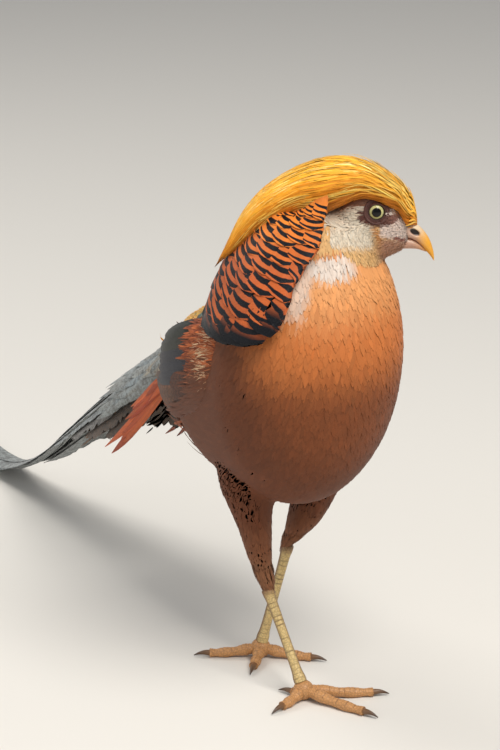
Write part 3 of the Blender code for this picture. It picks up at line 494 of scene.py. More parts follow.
class Feathering:
    """Turns batches of feathers into closed meshes.

    Each feather is a lens in section: its two edges are shared by its upper and lower faces,
    which stand apart by its thickness along its middle, and both ends are closed.
    """

    def __init__(self, name: str, slot: Slot, nodes: tuple[str, ...], finish: bpy.types.Material) -> None:
        """Keeps what every piece of this coat shares.

        Args:
            name: the name of the piece.
            slot: the record's slot; kept but not used.
            nodes: the CAD nodes that it stands for.
            finish: the material.
        """
        self.name = name
        self.slot = slot
        self.nodes = nodes
        self.finish = finish

    def grow(self, plume: Plume) -> list[bpy.types.Object]:
        """Makes as many objects as keep each one below the largest piece.

        Args:
            plume: the feathers.

        Returns:
            The objects.
        """
        count, stations, columns = plume.grid.shape[:3]
        ring = 2 * columns - 2
        each = (stations - 1) * ring * 2 + 2 * (ring - 2)
        share = max(1, LARGEST_PIECE // each)
        pieces = []
        for number, start in enumerate(range(0, count, share)):
            chosen = np.arange(start, min(start + share, count))
            pieces.append(self.mesh("{}_{}".format(self.name, number + 1), plume.part(chosen)))
        log.info("%s: %d feathers in %d pieces", self.name, count, len(pieces))
        return pieces

    def mesh(self, name: str, plume: Plume) -> bpy.types.Object:
        """Makes one object of a batch, with its Vane and OFBake maps and its tint.

        Args:
            name: the name of the piece.
            plume: the feathers.

        Returns:
            The finished object.
        """
        grid = plume.grid
        count, stations, columns = grid.shape[:3]
        down = np.gradient(grid, axis=1)
        side = np.gradient(grid, axis=2)
        normal = unit(np.cross(side, down))
        facing = np.einsum("nkcx,nkx->n", normal, plume.outward)
        flip = facing < 0
        grid = np.where(flip[:, None, None, None], grid[:, :, ::-1], grid)
        normal = np.where(flip[:, None, None, None], -normal[:, :, ::-1], normal)
        if columns == NARROW:
            outward = plume.outward[:, :, None]
            normal = unit(normal * np.sign((normal * outward).sum(axis=-1, keepdims=True)) + outward)
        swell = np.zeros(columns)
        swell[1:-1] = np.cos(np.linspace(-0.5, 0.5, columns)[1:-1] * math.pi) ** 0.5
        lift = normal * (plume.thick[:, :, None] * swell)[..., None] / 2
        upper = grid + lift
        lower = grid - lift
        order = np.concatenate((np.arange(columns), np.arange(columns - 2, 0, -1)))
        under = np.arange(len(order)) >= columns
        shell = np.where(under[None, None, :, None], lower[:, :, order], upper[:, :, order])
        ring = len(order)
        made = mesh_from(name, shell.reshape(-1, 3), self.faces(shell, plume.outward, columns))
        if columns > NARROW:
            shade = np.where(under[None, None, :, None], -normal[:, :, order], normal[:, :, order])
        else:
            shade = normal[:, :, np.ones(ring, dtype=int)]
        made.data.normals_split_custom_set_from_vertices(shade.reshape(-1, 3).tolist())
        u = np.linspace(0.0, 1.0, columns)[order]
        path = np.linalg.norm(np.diff(grid[:, :, columns // 2], axis=1), axis=-1)
        v = np.pad(np.cumsum(path, axis=1), ((0, 0), (1, 0)))
        v = v / np.maximum(v[:, -1:], 1e-6)
        uv = np.stack(np.broadcast_arrays(u[None, None], v[:, :, None]), axis=-1)
        set_uv(made, "Vane", uv.reshape(-1, 2))
        bake = plume.home[:, None, None] + (uv - 0.5) * PATCH
        set_uv(made, "OFBake", bake.reshape(-1, 2))
        tint = plume.tint if plume.tint.ndim == 3 else plume.tint[:, None]
        tint = np.broadcast_to(tint[:, :, None], (count, stations, ring, 3))
        set_tint(made, tint.reshape(-1, 3))
        made.data.materials.append(self.finish)
        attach(made, BODY)
        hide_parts(*self.nodes)
        return made

    @staticmethod
    def faces(shell: Array, outward: Array, columns: int) -> list[Array]:
        """Lists the faces of every feather: its quads, its root and its tip.

        A narrow feather can be squeezed where the skin bends, so its quads are wound one by one.

        Args:
            shell: corners of shape (feathers, stations, ring, 3).
            outward: the way out at each station.
            columns: points from edge to edge of the vane.

        Returns:
            Three blocks of vertex numbers.
        """
        count, stations, ring = shell.shape[:3]
        base = (np.arange(count) * stations * ring)[:, None, None]
        template = grid_faces(stations, ring, True)
        quads = template[None] + base
        if columns == NARROW:
            station, place = template[:, 0] // ring, template[:, 0] % ring
            corner = shell.reshape(count, -1, 3)[:, template]
            turned = np.cross(corner[:, :, 2] - corner[:, :, 0], corner[:, :, 3] - corner[:, :, 1])
            want = np.where(place < columns - 1, 1.0, -1.0)
            wrong = np.einsum("nqx,nqx->nq", turned, outward[:, station]) * want < 0
            quads = np.where(wrong[..., None], quads[..., ::-1], quads)
        root = (np.arange(ring)[::-1][None] + base[:, 0]).reshape(-1, ring)
        tip = ((stations - 1) * ring + np.arange(ring)[None] + base[:, 0]).reshape(-1, ring)
        return [quads.reshape(-1, 4), root, tip]


@dataclass
class Coat:
    """Lays short feathers on a surface of two parameters, along its lines towards the tail.

    flow is 1 where feathers lie towards larger along values, and -1 towards smaller ones.
    """

    surface: Surface
    flow: float
    low: float = 0.0
    high: float = 1.0

    def pace(self, along: Array, turn: Array) -> tuple[Array, Array]:
        """Measures how many millimetres one unit of along and one radian of turn cover.

        Args:
            along: places along the form, from 0 to 1.
            turn: places round or across the form.

        Returns:
            Millimetres for a unit of along, and for a radian of turn.
        """
        step = least = 1e-3
        here = self.surface.point(along, turn)
        down = np.linalg.norm(self.surface.point(along + step, turn) - here, axis=-1) / step
        across = np.linalg.norm(self.surface.point(along, turn + step) - here, axis=-1) / step
        return np.maximum(down, least), np.maximum(across, least)

    def scatter(self, count: int, rng: np.random.Generator,
                density: Callable | None = None) -> tuple[Array, Array]:
        """Draws even places on the surface.

        Candidates follow an even two-way sequence and are kept in proportion to the area that
        they stand for, times the density wanted there.

        Args:
            count: how many to draw.
            rng: draws the variation.
            density: weight of each place.

        Returns:
            The along and turn values that were kept.
        """
        tries = count * 6
        number = np.arange(tries) + rng.integers(1000)
        along = self.low + (self.high - self.low) * ((number * EVEN_STEPS[0]) % 1.0)
        turn = ((number * EVEN_STEPS[1]) % 1.0) * 2 * math.pi - math.pi
        down, across = self.pace(along, turn)
        weight = down * across
        if density is not None:
            weight = weight * density(self.surface.point(along, turn))
        keep = rng.random(tries) < weight / weight.sum() * count
        return along[keep], turn[keep]

    def lay(self, along: Array, turn: Array, length: Array, width: Array, rise: tuple[float, float],
            shape: tuple,
            thick: float, rng: np.random.Generator, sway: float = 0.12, columns: int = NARROW,
            span: Array | None = None, tilt: float = 0.0, cup: float = 0.06,
            shear: Array | float = 0.0) -> Plume:
        """Lays one feather from each root.

        Each station lies at its share of the length along the surface's own lines, and at a
        height that rises from root to tip; each column lies across at the feather's width.

        Args:
            along, turn: the roots.
            length, width: sizes of each feather.
            rise: height of the root and of the tip over the surface.
            shape: pairs of share along the feather and share of its width.
            thick: thickness at the root; the tip has a third of it.
            rng: draws the sway.
            sway: largest turn of a feather away from the lines, in radians.
            columns: points from edge to edge.
            span: how far each feather reaches in the surface's own along units, in place of length.
            tilt: how much higher the edge of the larger turn lies than the middle.
            cup: how far the edges lie below the middle, as a share of the width.
            shear: how far the edge of the larger turn is carried ahead, in along units for a unit of turn.

        Returns:
            The batch, white, with its homes on the surface's unwrap.
        """
        share, wide = np.array(shape).T
        down, across = self.pace(along, turn)
        lean = rng.uniform(-sway, sway, len(along))
        reach = (length / down if span is None else span)[:, None] * share * np.cos(lean)[:, None]
        drift = (length / across)[:, None] * share * np.sin(lean)[:, None]
        column = np.linspace(-1.0, 1.0, columns)
        spread = (width / across / 2)[:, None, None] * wide[None, :, None] * column
        s = (along[:, None] + self.flow * reach)[:, :, None] + np.reshape(shear, (-1, 1, 1)) * spread
        t = (turn[:, None] + drift)[:, :, None] + spread
        jitter = rng.uniform(-0.25, 0.35, len(along)) * (rise[1] - rise[0]) * 0.5
        height = rise[0] + (rise[1] - rise[0]) * share**0.75 + jitter[:, None] * share
        height = height[:, :, None] - cup * width[:, None, None] * wide[None, :, None] * column**2
        height = height + tilt * column * np.minimum(share * 3.0, 1.0)[None, :, None]
        grid = self.surface.point(s, t, np.broadcast_to(height, spread.shape))
        inner = self.surface.point(along, turn, -4.0)
        outward = unit(self.surface.point(along, turn, 0.0) - inner)
        thickness = thick * (1.0 - TAPER * share)
        thickness = np.broadcast_to(thickness, (len(along), len(share)))
        home = np.stack(((along - self.low) / (self.high - self.low), (turn / math.pi + 1) / 2), axis=-1)
        home = 0.02 + 0.96 * np.clip(home, 0, 1)
        return Plume(grid, outward, thickness, np.ones((len(along), 3)), home)


class Socket:
    """One shader socket that takes part in arithmetic."""

    def __init__(self, tree: "Tree", link: bpy.types.NodeSocket) -> None:
        """Keeps a socket with its tree."""
        self.tree = tree
        self.link = link

    def math(self, operation: str, *values: object) -> "Socket":
        """Adds a Math node that works on this socket and the values."""
        inputs = {number: value for number, value in enumerate((self, *values))}
        return self.tree.node("ShaderNodeMath", {"operation": operation}, inputs)

    def __add__(self, other: object) -> "Socket":
        """Adds a value."""
        return self.math("ADD", other)

    def __radd__(self, other: object) -> "Socket":
        """Is added to a value."""
        return self.math("ADD", other)

    def __sub__(self, other: object) -> "Socket":
        """Takes a value off."""
        return self.math("SUBTRACT", other)

    def __rsub__(self, other: object) -> "Socket":
        """Is taken off a value."""
        return self.tree.node("ShaderNodeMath", {"operation": "SUBTRACT"}, {0: other, 1: self})

    def __mul__(self, other: object) -> "Socket":
        """Multiplies by a value."""
        return self.math("MULTIPLY", other)

    def __rmul__(self, other: object) -> "Socket":
        """Multiplies a value."""
        return self.math("MULTIPLY", other)

    def __truediv__(self, other: object) -> "Socket":
        """Divides by a value."""
        return self.math("DIVIDE", other)

    def between(self, low: float, high: float) -> "Socket":
        """Rises smoothly from 0 at low to 1 at high."""
        settings = {"interpolation_type": "SMOOTHSTEP", "clamp": True}
        return self.tree.node("ShaderNodeMapRange", settings,
                              {"Value": self, "From Min": low, "From Max": high})


class Tree:
    """A material's node tree, filled by one method."""

    def __init__(self, name: str) -> None:
        """Makes the material and finds its shader.

        Args:
            name: the name of the piece.
        """
        self.material = bpy.data.materials.new(name)
        self.material.use_nodes = True
        self.nodes = self.material.node_tree.nodes
        self.shader = self.nodes["Principled BSDF"]

    def node(self, kind: str, settings: dict | None = None, inputs: dict | None = None,
             output: int | str = 0) -> Socket:
        """Adds a node.

        Args:
            kind: the node's type name.
            settings: properties, set first; "stops" fills a colour ramp.
            inputs: values or links of its sockets, by name or number.
            output: which output to return.

        Returns:
            The chosen output.
        """
        made = self.nodes.new(kind)
        for key, value in (settings or {}).items():
            if key == "stops":
                self.fill_ramp(made.color_ramp, value)
            else:
                setattr(made, key, value)
        for key, value in (inputs or {}).items():
            if isinstance(value, Socket):
                self.material.node_tree.links.new(value.link, made.inputs[key])
            else:
                made.inputs[key].default_value = value
        return Socket(self, made.outputs[output])

    @staticmethod
    def fill_ramp(ramp: bpy.types.ColorRamp, stops: list) -> None:
        """Sets a ramp's stops from pairs of place and linear colour.

        Args:
            ramp: the ramp.
            stops: pairs of place and linear colour.
        """
        while len(ramp.elements) < len(stops):
            ramp.elements.new(0.5)
        for element, (place, colour) in zip(ramp.elements, stops):
            element.position = place
            element.color = (*colour, 1.0)

    def blend(self, share: object, first: object, second: object, how: str = "MIX") -> Socket:
        """Mixes two colours, each a socket or a linear colour.

        Args:
            share: how much of the second colour.
            first: the first colour.
            second: the second colour.
            how: the way of blending.

        Returns:
            The mixed colour.
        """
        colours = [value if isinstance(value, Socket) else (*value, 1.0) for value in (first, second)]
        return self.node("ShaderNodeMix", {"data_type": "RGBA", "blend_type": how},
                         {"Factor": share, 6: colours[0], 7: colours[1]}, 2)

    def shaded(self, base: Socket, shade: Socket) -> Socket:
        """Multiplies a colour by a brightness."""
        grey = self.node("ShaderNodeCombineColor", None, {0: shade, 1: shade, 2: shade})
        return self.blend(1.0, base, grey, "MULTIPLY")

    def noise(self, vector: Socket, scale: float, detail: float = 3.0, rough: float = 0.6) -> Socket:
        """Adds a noise value from 0 to 1."""
        return self.node("ShaderNodeTexNoise", None,
                         {"Vector": vector, "Scale": scale, "Detail": detail, "Roughness": rough})

    def place(self) -> Socket:
        """Reads Object coordinates."""
        return self.node("ShaderNodeTexCoord", None, None, "Object")

    def uv(self, name: str) -> tuple[Socket, Socket]:
        """Reads a named UV map as two numbers.

        Args:
            name: the map's name.

        Returns:
            The sockets of u and v.
        """
        whole = self.node("ShaderNodeUVMap", {"uv_map": name})
        return (self.node("ShaderNodeSeparateXYZ", None, {0: whole}, 0),
                self.node("ShaderNodeSeparateXYZ", None, {0: whole}, 1))

    def tint(self) -> Socket:
        """Reads the piece's own colour attribute."""
        return self.node("ShaderNodeAttribute", {"attribute_name": "tint"}, None, "Color")

    def bump(self, height: Socket, distance: float, strength: float = 1.0) -> None:
        """Feeds a height to the shader's normal."""
        made = self.node("ShaderNodeBump", None,
                         {"Height": height, "Distance": distance, "Strength": strength})
        self.wire("Normal", made)

    def wire(self, name: str, value: object) -> None:
        """Sets or links one socket of the shader.

        Args:
            name: the socket's name.
            value: a number, a colour or a socket.
        """
        if isinstance(value, Socket):
            self.material.node_tree.links.new(value.link, self.shader.inputs[name])
        else:
            self.shader.inputs[name].default_value = value


@dataclass(frozen=True)
class FeatherFinish:
    """A feather's finish: its tint streaked by barbs that slant from a paler shaft."""

    name: str
    roughness: float = 0.55
    barbs: float = 26.0
    slant: float = 9.0
    contrast: float = 0.3
    shaft: float = 0.12
    # How much painted shade darkens each feather's covered root.
    root_shade: float = 0.45
    sheen: float = 0.25
    relief: float = 0.00012
    speckle: float = 0.18

    def make(self) -> bpy.types.Material:
        """Builds the material.

        Returns:
            The material.
        """
        tree = Tree(self.name)
        colour = self.dress(tree, tree.tint())
        tree.wire("Base Color", colour)
        tree.wire("Roughness", self.roughness)
        tree.wire("Sheen Weight", self.sheen)
        tree.wire("Specular IOR Level", 0.2)
        return tree.material

    def dress(self, tree: Tree, base: Socket) -> Socket:
        """Streaks a base colour and adds the barbs' relief.

        Args:
            tree: the material's tree.
            base: the feather's own colour.

        Returns:
            The new colour.
        """
        u, v = tree.uv("Vane")
        side = (u - 0.5).math("ABSOLUTE")
        place = tree.place()
        wander = tree.noise(place, 700.0, 2.0)
        phase = (v * self.barbs + side * -self.slant + wander * 2.2) * (2 * math.pi)
        wave = phase.math("SINE") * 0.5 + 0.5
        patches = tree.noise(place, 160.0, 3.0)
        shade = (1.0 - self.contrast * 0.5) + wave * self.contrast * 0.6
        shade = shade + (patches - 0.5) * self.speckle * 2.0
        # Each feather darkens towards its root: painted shade where the feather above covers it.
        shade = shade * (v.between(0.0, 0.55) * self.root_shade + (1.0 - self.root_shade))
        shaft = 1.0 - side.between(0.015, 0.05)
        shade = shade + shaft * self.shaft
        tree.bump(wave * 0.7 + wander * 0.3, self.relief)
        return tree.shaded(base, shade)


def take_over(thing: bpy.types.Object, slot: Slot, finish: bpy.types.Material,
              *nodes: str) -> bpy.types.Object:
    """Gives a piece its finish and its body, and hides the CAD nodes that it stands for.

    Args:
        thing: the object.
        slot: the record's slot; not used.
        finish: the material.
        nodes: the CAD nodes that it stands for.

    Returns:
        The same object.
    """
    thing.data.materials.append(finish)
    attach(thing, BODY)
    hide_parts(*nodes)
    log.info("%s: %d faces", thing.name, len(thing.data.polygons))
    return thing


FLESH = ("torso", "neck", "head", "thigh_left", "thigh_right")


class Ground:
    """The closed forms that feathers grow from, for telling how deep a place lies in them."""

    def __init__(self, points: Array, faces: list) -> None:
        """Builds the search tree over the faces."""
        self.tree = BVHTree.FromPolygons([Vector(point) for point in points], faces)

    @classmethod
    def of_surfaces(cls, rise: float) -> "Ground":
        """Makes a ground of the body and the head, grown by the rise.

        Args:
            rise: how far the forms are grown.

        Returns:
            The ground.
        """
        points = []
        faces = []
        for surface in (BodySurface(), HeadSurface()):
            rows, columns = FORM_GRID
            turns = np.linspace(-math.pi, math.pi, columns, endpoint=False)
            along, turn = lattice(np.linspace(0, 1, rows), turns)
            start = sum(len(block) for block in points)
            points.append(surface.point(along, turn, rise).reshape(-1, 3))
            faces.extend((grid_faces(rows, columns, True) + start).tolist())
        return cls(np.vstack(points), faces)

    def below(self, start: Array, way: Array) -> Array:
        """Measures how far the ground lies from each start along its way, or infinity."""
        hits = [self.tree.ray_cast(Vector(point), Vector(line)) for point, line in zip(start, way)]
        return np.array([hit[3] if hit[0] is not None else math.inf for hit in hits])


@dataclass(frozen=True)
class Markings:
    """The colours of the bird by place, shared by the skin and the coat."""

    # The upper breast's colour: its own paler tone brightened by painted light from above.
    crop_highlight: Colour = paint(218, 150, 92)
    breast: Colour = paint(190, 110, 56)
    # Belly and flank: the bird's own browns, darkened by painted shade below and behind.
    belly: Colour = paint(124, 68, 36)
    flank: Colour = paint(100, 54, 30)
    cream: Colour = paint(214, 198, 184)
    thigh: Colour = paint(116, 70, 44)
    vent: Colour = paint(116, 62, 34)
    mantle: Colour = paint(20, 58, 38)
    rump: Colour = paint(226, 152, 34)
    throat: Colour = paint(212, 168, 112)
    cheek: Colour = paint(210, 196, 174)
    lore: Colour = paint(226, 204, 190)
    chin: Colour = paint(184, 138, 112)
    # A rust colour for a band on the face, also used as painted shadow under the throat.
    rust_and_throat_shadow: Colour = paint(196, 118, 54)
    ring: Colour = paint(84, 50, 42)
    mauve: Colour = paint(138, 98, 86)
    gape: Colour = paint(140, 72, 54)
    gold: Colour = paint(244, 164, 40)

    def body(self, points: Array) -> Array:
        """Colours places on the body, neck and thighs: pale above, dark brown below and behind; the upper
        breast carries painted light, and the belly and rear flank painted shade, over their own colours.

        Args:
            points: places in bird millimetres.

        Returns:
            Linear colours, on the last axis.
        """
        x, y, z = points[..., 0], points[..., 1], points[..., 2]
        # Lighter towards the top of the breast: partly its own paler colour, partly painted light from above.
        tint = mix(self.breast, self.crop_highlight, ease(262, 296, z))
        # Darker towards the belly: partly its own brown, partly painted shade below.
        tint = mix(tint, self.belly, ease(250, 206, z - 0.15 * x))
        # Darker at the rear flank: partly its own brown, partly painted shade under the cape and on the side
        # turned from the light.
        rear_brown_and_shade = ease(92, 52, x + 0.25 * (z - 220)) * ease(290, 250, z)
        tint = mix(tint, self.flank, rear_brown_and_shade * 0.95)
        tint = mix(tint, self.thigh, ease(136, 104, z))
        tint = mix(tint, paint(132, 88, 60), ease(104, 80, z))
        tint = mix(tint, self.vent, ease(-70, -104, x) * ease(225, 195, z))
        front = ease(40, 60, x)
        patch = np.hypot((y + 5) / 18, (z - 305.5) / 7.5)
        edge = -22 - (302 - z) * 0.55
        band = ease(8, 2, np.abs(y - edge)) * ease(272, 288, z) * ease(308, 300, z)
        pale = np.maximum(ease(1.25, 0.6, patch), band * 0.75) * front
        tint = mix(tint, self.cream, pale)
        tint = mix(tint, self.throat, ease(312, 315, z) * front)
        # A rust band where the head meets the neck: painted shadow under the throat.
        tint = mix(tint, self.rust_and_throat_shadow, ease(2.2, 0.8, np.abs(z - 313)) * front * 0.6)
        back = BodyBack.share(points)
        tint = mix(tint, self.rump, back * ease(-24, -44, x))
        return mix(tint, self.mantle, back * ease(-44, -24, x) * ease(36, 24, x))

    def face(self, points: Array) -> Array:
        """Colours places on the head, by distance ahead and by height as seen from a little above.

        Args:
            points: places in bird millimetres.

        Returns:
            Linear colours, on the last axis.
        """
        ahead, side, z = HEAD.read(points)
        level = z - 0.33 * (np.abs(side) - 5.0)
        tint = mix(self.throat, self.cheek, ease(306, 313, level) * ease(35, 30, ahead))
        tint = mix(tint, self.chin, ease(31, 41, ahead) * ease(319, 313, level))
        tint = mix(tint, self.lore, ease(35, 38, ahead) * ease(314.5, 317.5, level + 0.2 * (ahead - 45)))
        rusty = ease(2.4, 0.8, np.abs(ahead - 33 - (323 - level) * 0.43))
        rusty = rusty * ease(326, 322, level) * ease(311, 316, level)
        tint = mix(tint, self.rust_and_throat_shadow, rusty * 0.55)
        dark = np.hypot((ahead - 36.0) / 13.5, (level - 331.5) / 7.6)
        shade = mix(self.ring, self.mauve, ease(38, 46, ahead))
        shade = mix(shade, paint(196, 146, 108), ease(43, 47, ahead) * ease(330, 334, level))
        tint = mix(tint, shade, ease(1.1, 0.88, dark) * ease(4, 7, np.abs(side)))
        # A dark brown band just under the crest's lower edge: painted shadow of the crest.
        crest_shadow = ease(6.0, 3.6, np.abs(level - 341.5 - 0.1 * (ahead - 26)))
        crest_shadow = crest_shadow * ease(8, 15, ahead) * ease(46, 40, ahead)
        tint = mix(tint, paint(116, 66, 42), crest_shadow * 0.9)
        dash = ease(1.5, 0.8, np.abs(level - 331.6 - 0.37 * (ahead - 39)))
        dash = dash * ease(39, 40, ahead) * ease(46, 45, ahead)
        tint = mix(tint, self.cream, dash)
        mouth = ease(1.5, 0.5, np.abs(level - 317.0 + 0.26 * (ahead - 45.8))) * ease(44.5, 46.5, ahead)
        tint = mix(tint, self.gape, mouth * 0.85)
        top = np.interp(ahead, (10, 20, 26, 34, 42, 49, 52, 56),
                        (338, 343, 345.5, 342, 338.5, 335.5, 329, 324))
        return mix(tint, self.gold, ease(-0.8, 0.8, level - top))


class BodyBack:
    """Tells the bird's upper side from its flanks."""

    @staticmethod
    def share(points: Array) -> Array:
        """Rises to 1 on the upper back, above a line that falls towards the tail."""
        line = np.interp(points[..., 0], (-120, -60, 0, 20), (196, 222, 262, 296))
        return ease(-4, 8, points[..., 2] - line)


MARKINGS = Markings()


@dataclass(frozen=True)
class SkinFinish:
    """Bare skin under the coat: the body's colours, darker, with fine pores and folds."""

    name: str = "skin"

    def make(self) -> bpy.types.Material:
        """Builds the material.

        Returns:
            The material.
        """
        tree = Tree(self.name)
        place = tree.place()
        folds = tree.noise(place, 420.0, 4.0)
        pores = tree.node("ShaderNodeTexVoronoi", {"feature": "F1"}, {"Vector": place, "Scale": 900.0})
        shade = folds * 0.2 + 0.8
        tree.wire("Base Color", tree.shaded(tree.tint(), shade))
        tree.wire("Roughness", 0.7)
        tree.bump(folds * 0.6 + pores * 0.4, 0.0002)
        return tree.material


@dataclass
class Skin:
    """One skin over torso, neck, head and thighs, inside them by the coat's depth."""

    body_depth: float = 2.2
    head_depth: float = 0.8
    thigh_depth: float = 1.5
    voxel: float = 1.7
    corners: int = 72
    smoothing: int = 6

    def rings(self, surface: Surface, depth: float, rows: int) -> Array:
        """Reads a surface as rings, sunk by a depth."""
        along, turn = lattice(np.linspace(0, 1, rows), corners_round(self.corners))
        return surface.point(along, turn, -depth)

    def build(self) -> bpy.types.Object:
        """Joins the four forms through a fine voxel remesh and smooths their joints.

        Returns:
            The skin.
        """
        stacks = [self.rings(BodySurface(), self.body_depth, 80),
                  self.rings(HeadSurface(), self.head_depth, 40)]
        stacks += [self.rings(ThighSurface(rows), self.thigh_depth, 40) for rows in THIGHS.values()]
        forms = [lathe_form("flesh", rings, end_middles(rings)) for rings in stacks]
        points = []
        faces = []
        for form in forms:
            start = sum(len(block) for block in points)
            mesh = form.data
            block = np.empty(len(mesh.vertices) * 3, dtype=np.float32)
            mesh.vertices.foreach_get("co", block)
            points.append(block.reshape(-1, 3))
            faces.extend([[start + corner for corner in face.vertices] for face in mesh.polygons])
        joined = bpy.data.meshes.new("flesh")
        joined.from_pydata(np.vstack(points).tolist(), [], faces)
        whole = bpy.data.objects.new("flesh", joined)
        bpy.context.scene.collection.objects.link(whole)
        remesh = whole.modifiers.new("remesh", "REMESH")
        remesh.mode = "VOXEL"
        remesh.voxel_size = self.voxel * MM
        smooth = whole.modifiers.new("smooth", "SMOOTH")
        smooth.factor = 0.5
        smooth.iterations = self.smoothing
        evaluated = whole.evaluated_get(bpy.context.evaluated_depsgraph_get())
        mesh = bpy.data.meshes.new_from_object(evaluated)
        mesh.name = "skin"
        skin = bpy.data.objects.new("skin", mesh)
        bpy.context.scene.collection.objects.link(skin)
        for form in (*forms, whole):
            bpy.data.objects.remove(form, do_unlink=True)
        mesh.polygons.foreach_set("use_smooth", np.ones(len(mesh.polygons), dtype=bool))
        places = self.places(mesh)
        ahead, _, z = HEAD.read(places)
        on_head = ease(308, 316, z) * ease(6, 14, ahead)
        set_tint(skin, mix(MARKINGS.body(places), MARKINGS.face(places), on_head))
        take_over(skin, Slot.BREAST, SkinFinish().make(), *FLESH)
        return skin

    @staticmethod
    def places(mesh: bpy.types.Mesh) -> Array:
        """Reads a mesh's vertices as bird places in millimetres.

        Args:
            mesh: the mesh to read.

        Returns:
            One row for each vertex.
        """
        block = np.empty(len(mesh.vertices) * 3, dtype=np.float32)
        mesh.vertices.foreach_get("co", block)
        return (block.reshape(-1, 3) - SHIFT) / MM


SILKY = ((0.0, 0.35), (0.28, 0.85), (0.55, 1.0), (0.82, 0.75), (1.0, 0.15))
TUFT = ((0.0, 0.5), (0.4, 1.0), (0.8, 0.7), (1.0, 0.2))
LOCK = ((0.0, 0.5), (0.15, 0.9), (0.35, 1.0), (0.6, 0.9), (0.8, 0.66), (0.92, 0.4), (1.0, 0.12))
CRESCENT = ((0.0, 0.35), (0.15, 0.75), (0.35, 0.95), (0.58, 1.0), (0.76, 1.0), (0.84, 0.95), (0.9, 0.8),
            (0.945, 0.6),
            (0.98, 0.36), (1.0, 0.12))
ROUND = ((0.0, 0.35), (0.2, 0.8), (0.45, 1.0), (0.7, 0.98), (0.86, 0.8), (0.95, 0.5), (1.0, 0.2))
SPEAR = ((0.0, 0.4), (0.12, 0.8), (0.3, 1.0), (0.5, 0.92), (0.7, 0.7), (0.86, 0.42), (0.95, 0.2), (1.0, 0.06))
FLIGHT = ((0.0, 0.4), (0.1, 0.8), (0.25, 0.97), (0.45, 1.0), (0.65, 1.0), (0.8, 0.93), (0.9, 0.75),
          (0.96, 0.5),
          (1.0, 0.2))


def varied(tint: Array, rng: np.random.Generator, spread: float = 0.12) -> Array:
    """Makes each feather a little lighter or darker, and a little warmer or cooler.

    Args:
        tint: linear colours, one row each.
        rng: draws the variation.
        spread: usual size of the change.

    Returns:
        The changed colours.
    """
    light = 1.0 + rng.normal(0, spread, (len(tint), 1))
    warm = rng.normal(0, spread * 0.3, (len(tint), 1)) * np.array((1.0, 0.0, -1.0))
    return np.clip(tint * np.clip(light, 0.6, 1.4) * (1 + warm), 0, 1)


